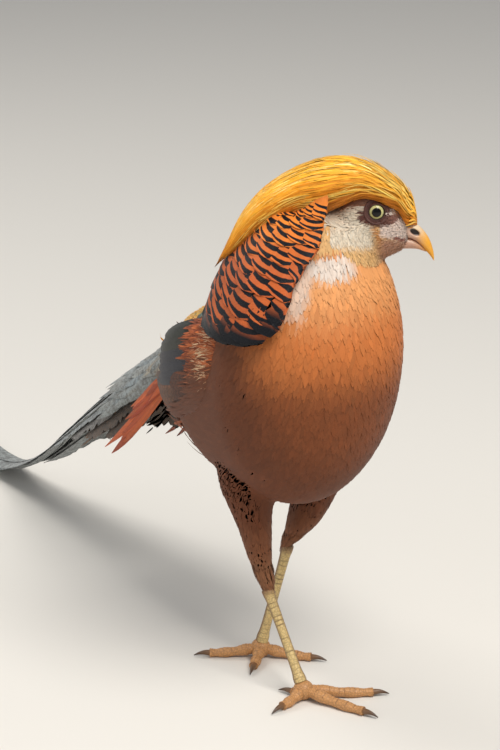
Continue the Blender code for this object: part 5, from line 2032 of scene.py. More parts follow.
@dataclass(frozen=True)
class BarredFinish(FeatherFinish):
    """A flight feather crossed by broken bars of a second colour."""

    ink: Colour = paint(30, 20, 16)
    bars: float = 9.0
    share: float = 0.5

    def dress(self, tree: Tree, base: Socket) -> Socket:
        """Lays wavy bars over the streaked base.

        Args:
            tree: the material's tree.
            base: the feather's own colour.

        Returns:
            The new colour.
        """
        coloured = super().dress(tree, base)
        u, v = tree.uv("Vane")
        side = (u - 0.5).math("ABSOLUTE")
        broken = tree.noise(tree.place(), 380.0, 3.0)
        wave = ((v * self.bars + side * 1.6 + (broken - 0.5) * 1.3) * (2 * math.pi)).math("SINE")
        mask = wave.between(-0.25, 0.25) * self.share
        return tree.blend(mask, coloured, self.ink)


@dataclass(frozen=True)
class WingRow:
    """One row of wing feathers: places of the first and the last root, how many, size, look."""

    first: tuple[float, float]
    last: tuple[float, float]
    count: int
    length: float
    width: float
    colour: Colour
    rise: tuple[float, float]
    barred: bool = False
    shape: tuple = FLIGHT


@dataclass
class Wing:
    """One folded wing: flight feathers under rows of coverts and scapulars."""

    side: int
    scapular_count: int = 700
    fluff_count: int = 170
    fringe_count: int = 2600
    rows: tuple = (
        WingRow((0.42, 0.62), (0.5, 0.1), 9, 74, 12, paint(92, 62, 42), (-3.0, -0.8), True),
        WingRow((0.3, 0.8), (0.36, 0.2), 10, 70, 12, paint(104, 62, 36), (-2.6, -0.4), True),
        WingRow((0.2, 0.85), (0.26, 0.1), 12, 44, 9, paint(88, 48, 30), (-2.0, 0.2), True),
        WingRow((0.3, 0.1), (0.36, -0.6), 9, 70, 10, paint(30, 30, 40), (-1.8, 0.4)),
        WingRow((0.18, -0.45), (0.46, -0.98), 12, 66, 9, paint(38, 38, 28), (-1.6, 1.0)),
        WingRow((0.02, -0.75), (0.12, -1.0), 6, 60, 9, paint(34, 36, 26), (-1.2, 1.4)),
    )

    def scapulars(self, rng: np.random.Generator) -> Plume:
        """Lays the narrow loose red-orange feathers of the shoulder; the pale fluff at their end is laid by
        fluff.

        Args:
            rng: draws the variation.

        Returns:
            The batch, with its tints.
        """
        coat = Coat(WingSurface(self.side), 1.0)
        count = self.scapular_count
        along = -0.3 + 0.62 * rng.beta(2.0, 1.6, count)
        across = rng.uniform(-0.75, 0.25, count)
        size = rng.uniform(15, 28, count)
        plume = coat.lay(along, across, size, rng.uniform(1.0, 2.4, count), (-0.8, 1.9), SILKY, 0.16, rng,
                         0.2)
        tint = mix(paint(112, 52, 30), paint(200, 106, 56), rng.random(count) ** 1.6)
        tint = mix(tint, MARKINGS.flank, np.maximum(ease(-0.25, 0.2, across) * 0.8, ease(0.0, -0.2, along)))
        plume.tint = varied(tint, rng, 0.12)
        return plume

    def fluff(self, rng: np.random.Generator) -> Plume:
        """Lays a pale spray of hair-like barbs where the shoulder feathers end.

        Args:
            rng: draws the variation.

        Returns:
            The batch, with its tints.
        """
        coat = Coat(WingSurface(self.side), 1.0)
        count = self.fluff_count
        along = 0.2 + np.clip(rng.normal(0, 0.04, count), -0.07, 0.07)
        across = np.clip(rng.normal(-0.18, 0.2, count), -0.5, 0.16)
        plume = coat.lay(along, across, rng.uniform(10, 20, count), rng.uniform(0.3, 0.75, count),
                         (0.6, 2.2), SILKY,
                         0.12, rng, 0.4)
        pale = np.exp(-((along - 0.2) / 0.03) ** 2) * rng.random(count) ** 0.5
        plume.tint = varied(mix(paint(176, 100, 58), paint(238, 212, 170), pale), rng, 0.1)
        return plume

    def lay(self, row: WingRow, rng: np.random.Generator) -> Plume:
        """Lays one row of feathers along a line between its first and last roots.

        Args:
            row: the row's places, count and look.
            rng: draws the variation.

        Returns:
            The batch, with its tints.
        """
        coat = Coat(WingSurface(self.side), 1.0)
        share = np.linspace(0, 1, row.count)
        along = row.first[0] + (row.last[0] - row.first[0]) * share + rng.uniform(-0.008, 0.008, row.count)
        across = row.first[1] + (row.last[1] - row.first[1]) * share
        size = row.length * rng.uniform(0.94, 1.06, row.count)
        order = np.linspace(0.0, 0.5, row.count)
        plume = coat.lay(along, across, size, np.full(row.count, row.width), row.rise, row.shape, 0.55, rng,
                         0.03, 5)
        plume.grid = plume.grid + plume.outward[:, :, None] * order[:, None, None, None]
        plume.tint = varied(np.tile(row.colour, (row.count, 1)), rng, 0.1)
        return plume

    def fringe(self, rng: np.random.Generator) -> Plume:
        """Lays the orange flank feathers that hide the wing's front and lower edge.

        Args:
            rng: draws the variation.

        Returns:
            The batch, with its tints.
        """
        coat = Coat(WingSurface(self.side), 1.0)
        tries = self.fringe_count
        along, across = rng.uniform(-0.25, 0.5, tries), rng.uniform(-0.15, 1.15, tries)
        keep = across > -0.1 + 2.0 * np.maximum(along - 0.05, 0.0) + rng.normal(0, 0.1, tries)
        along, across = along[keep], across[keep]
        count = len(along)
        root = coat.surface.point(along, across)
        plume = coat.lay(along, across, rng.uniform(16, 27, count), rng.uniform(2.0, 3.6, count), (-1.0, 1.9),
                         SILKY, 0.16, rng, 0.14)
        plume.tint = varied(MARKINGS.body(root), rng, 0.08)
        return plume

    def build(self, rng: np.random.Generator) -> None:
        """Makes the wing's pieces.

        Args:
            rng: draws the variation.
        """
        name = "wing_left" if self.side > 0 else "wing_right"
        barred = BarredFinish("barred wing feathers", 0.5, 40.0, 12.0, 0.3, 0.15, 0.25, 0.05).make()
        plain = FeatherFinish("plain wing feathers", 0.42, 34.0, 12.0, 0.34, 0.12, 0.3, 0.05).make()
        soft = FeatherFinish("flank feathers", 0.55, 7.0, 5.0, 0.1, 0.03, 0.1, 0.05, 0.00003, 0.08).make()
        for label, wanted, finish in (("flight", True, barred), ("covert", False, plain)):
            for shape in (FLIGHT, ROUND):
                rows = [self.lay(row, rng) for row in self.rows if row.barred == wanted
                        and row.shape == shape]
                if rows:
                    title = "{}_{}_{}".format(name, label, "long" if shape == FLIGHT else "short")
                    Feathering(title, Slot.WING, (name,), finish).grow(join_plumes(rows))
        batches = [self.fringe(rng), self.scapulars(rng), self.fluff(rng)]
        Feathering(name + "_fringe", Slot.BREAST, (name,), soft).grow(join_plumes(batches))
        self.core(name)

    def core(self, name: str) -> bpy.types.Object:
        """Closes the wing's dark inner form under its feathers.

        Args:
            name: the name of the piece.

        Returns:
            The finished piece.
        """
        surface = WingSurface(self.side)
        along, turn = lattice(np.linspace(0.0, 0.8, 40), np.linspace(-1, 1, 25))
        outer = surface.point(along, turn, -3.4)
        inner = surface.point(along, turn, -9.0)[:, ::-1]
        rings = np.concatenate((outer, inner[:, 1:-1]), axis=1)
        made = lathe_form(name + "_core", rings, end_middles(rings))
        set_plain_tint(made, paint(70, 40, 26))
        return take_over(made, Slot.WING, SkinFinish("wing skin").make(), name)


class TailSurface(Surface):
    """The tail's vault: an arch over the ridge line, from the root to the tip."""

    sections = (
        (-98, 219, 26, 15), (-130, 202.5, 36, 20), (-161, 182, 46, 25), (-197, 159, 52, 29),
        (-247, 124.5, 47, 30),
        (-291, 91, 32, 29), (-336, 58, 16, 27), (-380, 32, 9, 25), (-424, 14.5, 7, 23), (-475, 6.2, 2.0, 21),
        (-560, 4.6, 1.4, 17), (-640, 2.8, 0.8, 11), (-668, 1.9, 0.5, 4),
    )
    widest = math.radians(100.0)

    def arch(self, along: Array) -> tuple:
        """Reads the arch's x, ridge height, width, height and half angle.

        Args:
            along: places along the form, from 0 to 1.

        Returns:
            The five values, each of the shape of along.
        """
        x, ridge, drop, width = np.moveaxis(self.track.at(along), -1, 0)
        drop = np.maximum(drop, 0.3)
        width = np.maximum(width, 2.0)
        angle = self.widest * np.clip(drop / width, 0.1, 1.0)
        wide = width / np.sin(np.minimum(angle, math.pi / 2))
        tall = drop / (1.0 - np.cos(angle))
        return x, ridge, wide, tall, angle

    def half_length(self, along: Array) -> Array:
        """Measures the arch from its ridge to one edge."""
        _, _, wide, tall, angle = self.arch(along)
        return angle * np.hypot(wide, tall) / math.sqrt(2.0)

    def point(self, along: Array, turn: Array, rise: Array = 0.0) -> Array:
        """Places points: along from root to tip, turn across from the right edge -1 to the left 1.

        Args:
            along: places along the form, from 0 to 1.
            turn: places round or across the form.
            rise: height over the form, in millimetres.

        Returns:
            Points on the form, on a new last axis.
        """
        x, ridge, wide, tall, angle = self.arch(along)
        bend = turn * angle
        out = unit(np.stack(np.broadcast_arrays(0.0 * x, tall * np.sin(bend), wide * np.cos(bend)), axis=-1))
        spot = np.stack(np.broadcast_arrays(x, wide * np.sin(bend), ridge - tall * (1.0 - np.cos(bend))),
                        axis=-1)
        return spot + out * np.asarray(rise)[..., None]


@dataclass(frozen=True)
class MottledFinish(FeatherFinish):
    """A tail feather: pale ground finely mottled with dark, darker beside the shaft."""

    ink: Colour = paint(52, 48, 44)
    cover: float = 0.72
    grain: float = 230.0
    centre: float = 0.1

    def dress(self, tree: Tree, base: Socket) -> Socket:
        """Lays wormy mottling over the streaked base.

        Args:
            tree: the material's tree.
            base: the feather's own colour.

        Returns:
            The new colour.
        """
        coloured = super().dress(tree, base)
        u, _ = tree.uv("Vane")
        side = (u - 0.5).math("ABSOLUTE")
        place = tree.place()
        warp = tree.noise(place, self.grain, 4.0, 0.7)
        fine = tree.noise(place, self.grain * 3.0, 3.0, 0.65)
        value = warp * 0.6 + fine * 0.4 + (1.0 - side.between(0.02, 0.3)) * self.centre * 0.25
        mask = value.between(0.47, 0.56) * self.cover
        return tree.blend(mask, coloured, self.ink)


@dataclass
class Tail:
    """The long vaulted tail: paired feathers, the two longest along the ridge."""

    reach: tuple = (1.0, 0.84, 0.6, 0.46, 0.37, 0.31, 0.26)
    stations: int = 72
    columns: int = 9
    near: float = 6.5
    last: float = 0.9
    step: float = 1.15
    shingle: float = 3.0
    barb_count: int = 220

    def vane(self, pair: int, side: int, surface: TailSurface, rng: np.random.Generator) -> Plume:
        """Grows one tail feather along the vault, with splits along its edges.

        Args:
            pair: number of the pair, from the ridge.
            side: 1 or -1.
            surface: the form to read or cover.
            rng: draws the variation.

        Returns:
            The batch, with its tints.
        """
        reach = self.reach[pair]
        share = np.linspace(0.0, 1.0, self.stations)
        along = 0.03 + (reach - 0.03) * share
        half = surface.half_length(along)
        near = self.near / half
        across = side * (near + (self.last - near) * pair / (len(self.reach) - 1))
        wide = (11.5 if pair == 0 else 9.5) * (1.0 - 0.25 * share)
        tip = np.interp(share, (0.0, 0.05, 0.9, 0.96, 1.0), (0.5, 1.0, 1.0, 0.72, 0.12))
        drop = self.track_drop(surface, along)
        flat = 1.0 - np.minimum(drop / 20.0, 1.0)
        low = side < 0
        stacked = self.step * (2 * pair + low)
        shingled = self.step * low if pair == 0 else self.shingle + 0.5 * low
        lift = -stacked * flat - shingled * (1.0 - flat)
        column = np.linspace(-1.0, 1.0, self.columns)
        ragged = 0.04 + 0.1 * (pair > 1) + 0.1 * (pair > 3)
        notch = 1.0 - ragged * rng.random((self.stations, 2)) ** 3 * 2.0
        edge = np.where(column[None] < 0, notch[:, :1], notch[:, 1:]) * np.abs(column)[None] ** 4
        edge = edge + (1 - np.abs(column)[None] ** 4)
        half_turn = np.minimum(wide * tip / half, 0.62)[:, None] * column[None] * edge
        tilt = 0.0 if pair == 0 else side * 0.24 * 9.0
        rise = lift[:, None] + tilt * column[None] * np.interp(share, (0.9, 1.0), (1.0, 0.25))[:, None]
        rise = rise + 0.3 * (1 - column[None] ** 2) + rng.normal(0, 0.05, (self.stations, 1))
        grid = surface.point(along[:, None] + 0 * half_turn, across[:, None] + half_turn, rise)
        grid[..., 2] = np.maximum(grid[..., 2], 0.45)
        outward = surface.point(along[:1], across[:1], 5.0)[0] - surface.point(along[:1], across[:1], 0.0)[0]
        grey = mix(paint(146, 152, 150), paint(92, 72, 56), ease(2.5, 5.0, np.full(1, pair)))
        home = np.array(((0.5 + across[0] * 0.4, 0.9),))
        return Plume(grid[None], unit(outward)[None], np.linspace(0.9, 0.5, self.stations)[None],
                     varied(grey, rng, 0.05),
                     home)

    @staticmethod
    def track_drop(surface: TailSurface, along: Array) -> Array:
        """Reads how far the arch's edges hang below its ridge."""
        return np.maximum(surface.track.at(along)[..., 2], 0.3)

    def build(self, rng: np.random.Generator) -> None:
        """Makes all pairs and the loose dark splinters at their edges.

        Args:
            rng: draws the variation.
        """
        surface = TailSurface()
        vanes = [self.vane(pair, side, surface, rng) for pair in range(len(self.reach)) for side in (1, -1)]
        finish = MottledFinish("tail feathers", 0.5, 150.0, 16.0, 0.3, 0.22, 0.1, 0.2, 0.0001).make()
        Feathering("tail_feather", Slot.TAIL, ("tail", "tail_end"), finish).grow(join_plumes(vanes))
        coat = Coat(surface, 1.0)
        count = self.barb_count
        along = rng.uniform(0.05, 0.3, count)
        side = np.where(rng.random(count) < 0.5, -1.0, 1.0)
        across = side * rng.uniform(0.6, 0.86, count)
        plume = coat.lay(along, across, rng.uniform(14, 28, count), rng.uniform(1.2, 3.0, count),
                         (-4.6, -3.0), SPEAR,
                         0.25, rng, 0.14)
        plume.grid[..., 2] = np.maximum(plume.grid[..., 2], 0.6)
        plume.tint = varied(np.tile(paint(104, 78, 58), (count, 1)), rng, 0.15)
        dark = FeatherFinish("loose barbs", 0.6, 40.0, 8.0, 0.35, 0.1, 0.3, 0.2).make()
        Feathering("tail_barb", Slot.TAIL, ("tail",), dark).grow(plume)


@dataclass
class Coverts:
    """The tail coverts: mottled gold over the ridge, long orange-red spears down the sides."""

    upper_count: int = 150
    spear_count: int = 44

    def build(self, rng: np.random.Generator) -> None:
        """Lays the short upper coverts and the spears.

        Args:
            rng: draws the variation.
        """
        surface = TailSurface()
        coat = Coat(surface, 1.0)
        count = self.upper_count
        across = rng.uniform(-0.8, 0.8, count)
        along = rng.uniform(-0.08, 0.19, count)
        plume = coat.lay(along, across, rng.uniform(34, 54, count), rng.uniform(7, 10, count), (0.6, 3.6),
                         SPEAR, 0.5,
                         rng, 0.08, 5)
        silver = mix(paint(146, 152, 150), paint(186, 152, 100),
                     rng.random(count) ** 2 * ease(0.08, -0.02, along))
        plume.tint = varied(silver, rng, 0.1)
        finish = MottledFinish("upper coverts", 0.5, 40.0, 10.0, 0.3, 0.1, 0.2, 0.2, 0.0001, 0.18,
                               paint(60, 40, 28),
                               0.5, 300.0).make()
        Feathering("upper_covert", Slot.COVERT, ("tail_coverts",), finish).grow(plume)
        count = self.spear_count
        side = np.where(np.arange(count) % 2, 1.0, -1.0)
        across = side * rng.uniform(0.9, 1.1, count)
        along = rng.uniform(-0.05, 0.12, count)
        size = rng.uniform(50, 100, count) * (0.6 + 0.4 * np.abs(across))
        plume = coat.lay(along, across, size, rng.uniform(5, 8, count), (0.5, 3.0), SPEAR, 0.5, rng, 0.05, 5)
        plume.tint = varied(mix(paint(176, 66, 28), paint(202, 96, 42), rng.random(count)), rng, 0.12)
        finish = FeatherFinish("spear coverts", 0.42, 44.0, 14.0, 0.3, 0.25, 0.15, 0.3).make()
        Feathering("spear_covert", Slot.COVERT, ("tail_coverts",), finish).grow(plume)


@dataclass(frozen=True)
class EyeFinish:
    """A wet eye: black pupil, pale yellow-green iris with fine rays and a dark rim."""

    pupil: float = 0.142
    iris: float = 0.252

    def make(self) -> bpy.types.Material:
        """Builds the material; v of the Form map runs from the pupil's middle to the back.

        Returns:
            The material.
        """
        tree = Tree("eye")
        u, v = tree.uv("Form")
        turn = u * (2 * math.pi)
        across = tree.node("ShaderNodeCombineXYZ", None,
                           {0: turn.math("COSINE"), 1: turn.math("SINE"), 2: v * 3.0})
        rays = tree.noise(across, 9.0, 4.0, 0.7)
        flesh = tree.blend(rays.between(0.35, 0.7), paint(160, 156, 100), paint(214, 210, 150))
        inner = tree.blend(v.between(self.pupil, self.pupil + 0.02), paint(96, 84, 40), flesh)
        rimmed = tree.blend(v.between(self.iris - 0.03, self.iris), inner, paint(38, 28, 20))
        colour = tree.blend(v.between(self.pupil - 0.006, self.pupil + 0.004), paint(6, 6, 7), rimmed)
        tree.wire("Base Color", colour)
        tree.wire("Roughness", 0.2)
        tree.wire("Specular IOR Level", 0.12)
        tree.wire("Coat Weight", 0.35)
        tree.wire("Coat Roughness", 0.03)
        return tree.material


@dataclass(frozen=True)
class BareFinish:
    """Bare wrinkled skin, brown to flesh by its tint."""

    name: str = "bare skin"
    roughness: float = 0.5

    def make(self) -> bpy.types.Material:
        """Builds the material.

        Returns:
            The material.
        """
        tree = Tree(self.name)
        place = tree.place()
        grain = tree.noise(place, 1500.0, 4.0)
        cells = tree.node("ShaderNodeTexVoronoi", {"feature": "DISTANCE_TO_EDGE"},
                          {"Vector": place, "Scale": 1400.0})
        shade = grain * 0.5 + 0.75
        tree.wire("Base Color", tree.shaded(tree.tint(), shade))
        tree.wire("Roughness", self.roughness)
        tree.bump(cells.between(0.0, 0.12) * 0.6 + grain * 0.4, 0.00012)
        return tree.material


@dataclass
class Eye:
    """One eye with its lids and the bare ring; side is 1 for the right eye."""

    side: int
    bulge: float = 1.035
    ring_reach: float = 8.3
    opening: float = 5.0
    lid_depth: float = 1.6

    def build(self) -> None:
        """Makes eyeball and lids."""
        name = "eye_right" if self.side > 0 else "eye_left"
        centre = eye_centre(self.side)
        out = HEAD.rightward * self.side
        ahead = HEAD.ahead
        up = np.array((0.0, 0.0, 1.0))
        polar, turn = lattice(np.linspace(0.012, 0.988, 60) * math.pi, corners_round(64))
        radius = EYE_RADIUS * (1.0 + 0.035 * ease(0.8, 0.2, polar))
        ring = ahead * np.cos(turn)[..., None] + up * np.sin(turn)[..., None]
        way = ring * np.sin(polar)[..., None] + out * np.cos(polar)[..., None]
        rings = centre + way * radius[..., None]
        poles = (centre + out * EYE_RADIUS * self.bulge, centre - out * EYE_RADIUS)
        take_over(lathe_form("ball_of_" + name, rings, poles), Slot.EYE, EyeFinish().make(), name)
        self.lids(name, out)

    def lids(self, name: str, out: Array) -> bpy.types.Object:
        """Makes the fleshy lid rings and the bare skin round them as one closed band.

        Args:
            name: the name of the piece.
            out: the way out of the head.

        Returns:
            The finished piece.
        """
        surface = HeadSurface()
        turn = corners_round(120)
        open_wide = self.opening - 0.35 * np.abs(np.sin(turn)) + 0.25 * np.cos(turn)
        steps = np.array((0.0, 0.06, 0.14, 0.24, 0.34, 0.46, 0.6, 0.74, 0.88, 1.0))
        radius = open_wide[None] + steps[:, None] * (self.ring_reach - open_wide[None])
        lift = np.array((-0.25, 0.5, 0.75, 0.5, 0.1, 0.35, 0.12, 0.22, 0.05, -0.5))
        ahead = EYE_AHEAD + radius * np.cos(turn)[None]
        height = EYE_HEIGHT + radius * np.sin(turn)[None]
        ball = np.sqrt(np.maximum(EYE_RADIUS**2 - radius**2, 0.0)) + (EYE_OUT - EYE_RADIUS)
        flesh = self.width_at(surface, ahead, height)
        blend = ease(5.2, 7.2, radius)
        wrinkle = 0.12 * np.sin(turn * 14 + radius * 2.0) * ease(5.5, 7.0, radius)
        outer_side = np.maximum(ball, 0) * (1 - blend) + flesh * blend + lift[:, None] + wrinkle
        inner_side = outer_side - self.lid_depth
        outer = HEAD.place(ahead, outer_side * self.side, height)
        inner = HEAD.place(ahead, inner_side * self.side, height)
        rings = np.concatenate((outer, inner[::-1]), axis=0)
        rows, columns = rings.shape[:2]
        loop = np.concatenate((rings, rings[:1]), axis=0)
        quads = grid_faces(rows + 1, columns, True) % (rows * columns)
        facing = np.einsum("x,x->", np.cross(loop[1, 0] - loop[0, 0], loop[0, 1] - loop[0, 0]), out)
        made = mesh_from("lids_of_" + name, rings.reshape(-1, 3), [quads if facing < 0 else quads[:, ::-1]])
        reach = np.concatenate((steps, steps[::-1]))
        tint = mix(paint(58, 40, 30), MARKINGS.ring, np.repeat(ease(0.0, 0.3, reach), columns))
        set_tint(made, tint)
        return take_over(made, Slot.FACE, BareFinish("lid skin").make(), "head")

    @staticmethod
    def width_at(surface: HeadSurface, ahead: Array, height: Array) -> Array:
        """Finds how far the head reaches sideways at places ahead and up.

        Args:
            surface: the head's form.
            ahead: distance ahead of the neck.
            height: height, in millimetres.

        Returns:
            Half widths, in millimetres.
        """
        rows = surface.track.rows
        share = np.interp(ahead, rows[:, 0], np.linspace(0, 1, len(rows)))
        _, crown, chin, width = np.moveaxis(surface.track.at(share), -1, 0)
        middle = (crown + chin) / 2 + 2.0
        reach = np.where(height > middle, crown - middle, middle - chin)
        return width * np.sqrt(np.clip(1.0 - ((height - middle) / reach) ** 2, 0.02, 1.0))


@dataclass(frozen=True)
class HornFinish:
    """Satin horn with fine growth lines that follow the bill."""

    name: str = "bill horn"
    roughness: float = 0.32

    def make(self) -> bpy.types.Material:
        """Builds the material.

        Returns:
            The material.
        """
        tree = Tree(self.name)
        place = tree.place()
        _, v = tree.uv("Form")
        grain = tree.noise(place, 900.0, 4.0)
        lines = ((v * 60.0 + grain * 5.0) * (2 * math.pi)).math("SINE") * 0.5 + 0.5
        shade = grain * 0.35 + lines * 0.06 + 0.8
        tree.wire("Base Color", tree.shaded(tree.tint(), shade))
        tree.wire("Roughness", self.roughness)
        tree.bump(lines * 0.25 + grain * 0.75, 0.00005)
        return tree.material


@dataclass
class Bill:
    """The bill: hooked upper part with its nostrils, and the lower part; both are darker along the edges
    where they meet.
    """

    upper = ((46, 329.5, 317.2, 5.4), (48, 329, 316.8, 5.2), (53, 328.2, 316, 5.4), (58, 326.6, 314.8, 5.1),
             (62, 324, 312.3, 4.5), (66, 319.8, 308.2, 3.6), (69.4, 314.4, 304.4, 2.7),
             (71.6, 308, 301.4, 1.7),
             (72.4, 303.4, 300.2, 0.7))
    lower = ((46, 317.0, 308.6, 4.2), (48, 316.8, 308.6, 4.4), (53, 316.4, 308.6, 4.4),
             (58, 315.4, 308.6, 3.9),
             (62, 313, 308.2, 3.1), (65, 310.2, 307.2, 2.3), (67.2, 308.0, 306.4, 1.0))
    nostril = (59.4, 320.4)

    def form(self, name: str, sections: tuple, keel: float) -> tuple[bpy.types.Object, Array]:
        """Lofts one half of the bill; keel sharpens its ridge.

        Args:
            name: the name of the piece.
            sections: rows of distance ahead, top, bottom and half width.
            keel: sharpness of the ridge; 0 for the lower half.

        Returns:
            The object and its colours.
        """
        track = Track(sections)
        along, turn = lattice(np.linspace(0, 1, 90), corners_round(96))
        ahead, top, bottom, width = np.moveaxis(track.at(along), -1, 0)
        sine, cosine = np.sin(turn), np.cos(turn)
        wide = np.sign(sine) * np.abs(sine) ** (1.0 + keel * np.maximum(cosine, 0)) * width
        height = (top + bottom) / 2 + cosine * (top - bottom) / 2
        spot = np.stack(((ahead - self.nostril[0]), (height - self.nostril[1])), axis=-1)
        slant = math.radians(-32.0)
        long = spot[..., 0] * math.cos(slant) + spot[..., 1] * math.sin(slant)
        tall = -spot[..., 0] * math.sin(slant) + spot[..., 1] * math.cos(slant)
        pit = 1.0 / (1.0 + ((long / 3.6) ** 2 + (tall / 1.8) ** 2) ** 4) if keel > 0 else np.zeros_like(long)
        hood = np.exp(-((long / 4.0) ** 2) - ((tall - 2.6) / 1.0) ** 2) if keel > 0 else np.zeros_like(long)
        wide = wide - np.sign(wide) * np.minimum(1.8 * pit, np.abs(wide)) + np.sign(wide) * 0.6 * hood
        rings = HEAD.place(ahead, wide, height)
        last = rings[-1].mean(axis=0) + (rings[-1].mean(axis=0) - rings[-4].mean(axis=0)) * 0.2
        made = lathe_form(name + "_horn", rings, (rings[0].mean(axis=0), last))
        horn = mix(paint(196, 162, 142), paint(226, 160, 48), ease(57, 68, ahead))
        horn = mix(horn, paint(224, 208, 176), ease(0.0, 0.8, cosine) * ease(69, 60, ahead) * 0.8)
        # The nostril's opening is near black: painted shade in its hollow.
        horn = mix(horn, paint(34, 22, 16), ease(0.35, 0.75, pit))
        # Darker along the edge where the two halves meet.
        edge = np.abs(height - (bottom if keel > 0 else top))
        horn = mix(horn, paint(132, 70, 48), ease(1.8, 0.4, edge) * ease(70, 60, ahead) * 0.85)
        horn = mix(horn, paint(168, 118, 92), np.full_like(horn[..., 0], 0.0 if keel > 0 else 0.6))
        tint = np.vstack((horn.reshape(-1, 3), horn[0, :1], horn[-1, :1]))
        return made, tint

    def build(self) -> None:
        """Makes both halves."""
        for name, sections, keel in (("bill_upper", self.upper, 0.35), ("bill_lower", self.lower, 0.0)):
            made, tint = self.form(name, sections, keel)
            set_tint(made, tint)
            take_over(made, Slot.BILL, HornFinish().make(), name)


@dataclass(frozen=True)
class ScuteFinish:
    """Scaled leg skin: small plates with dark seams, over a tinted ground."""

    name: str = "leg skin"
    scale: float = 420.0

    def make(self) -> bpy.types.Material:
        """Builds the material.

        Returns:
            The material.
        """
        tree = Tree(self.name)
        place = tree.place()
        cells = tree.node("ShaderNodeTexVoronoi", {"feature": "DISTANCE_TO_EDGE"},
                          {"Vector": place, "Scale": self.scale})
        grain = tree.noise(place, 800.0, 4.0)
        seam = cells.between(0.02, 0.12)
        shade = seam * 0.3 + grain * 0.4 + 0.55
        tree.wire("Base Color", tree.shaded(tree.tint(), shade))
        tree.wire("Roughness", 0.45)
        tree.bump(seam * 0.7 + grain * 0.3, 0.0002)
        return tree.material


def tube_rings(line: Array, radii: Array, columns: int, flat: float = 1.0) -> tuple[Array, Array]:
    """Skins a line with rings.

    Args:
        line: points of the middle line.
        radii: radius at each point.
        columns: corners of each ring.
        flat: share of the radius kept upright.

    Returns:
        The rings, and the angle of each corner from the upper side.
    """
    way = unit(np.gradient(line, axis=0))
    side = unit(np.cross(way, np.array((0.0, 0.0, 1.0)) + 0.001))
    up = np.cross(side, way)
    turn = corners_round(columns)
    rings = (line[:, None] + side[:, None] * (np.sin(turn)[None, :, None] * radii[:, None, None])
             + up[:, None] * (np.cos(turn)[None, :, None] * radii[:, None, None] * flat))
    return rings, np.broadcast_to(turn, rings.shape[:2])


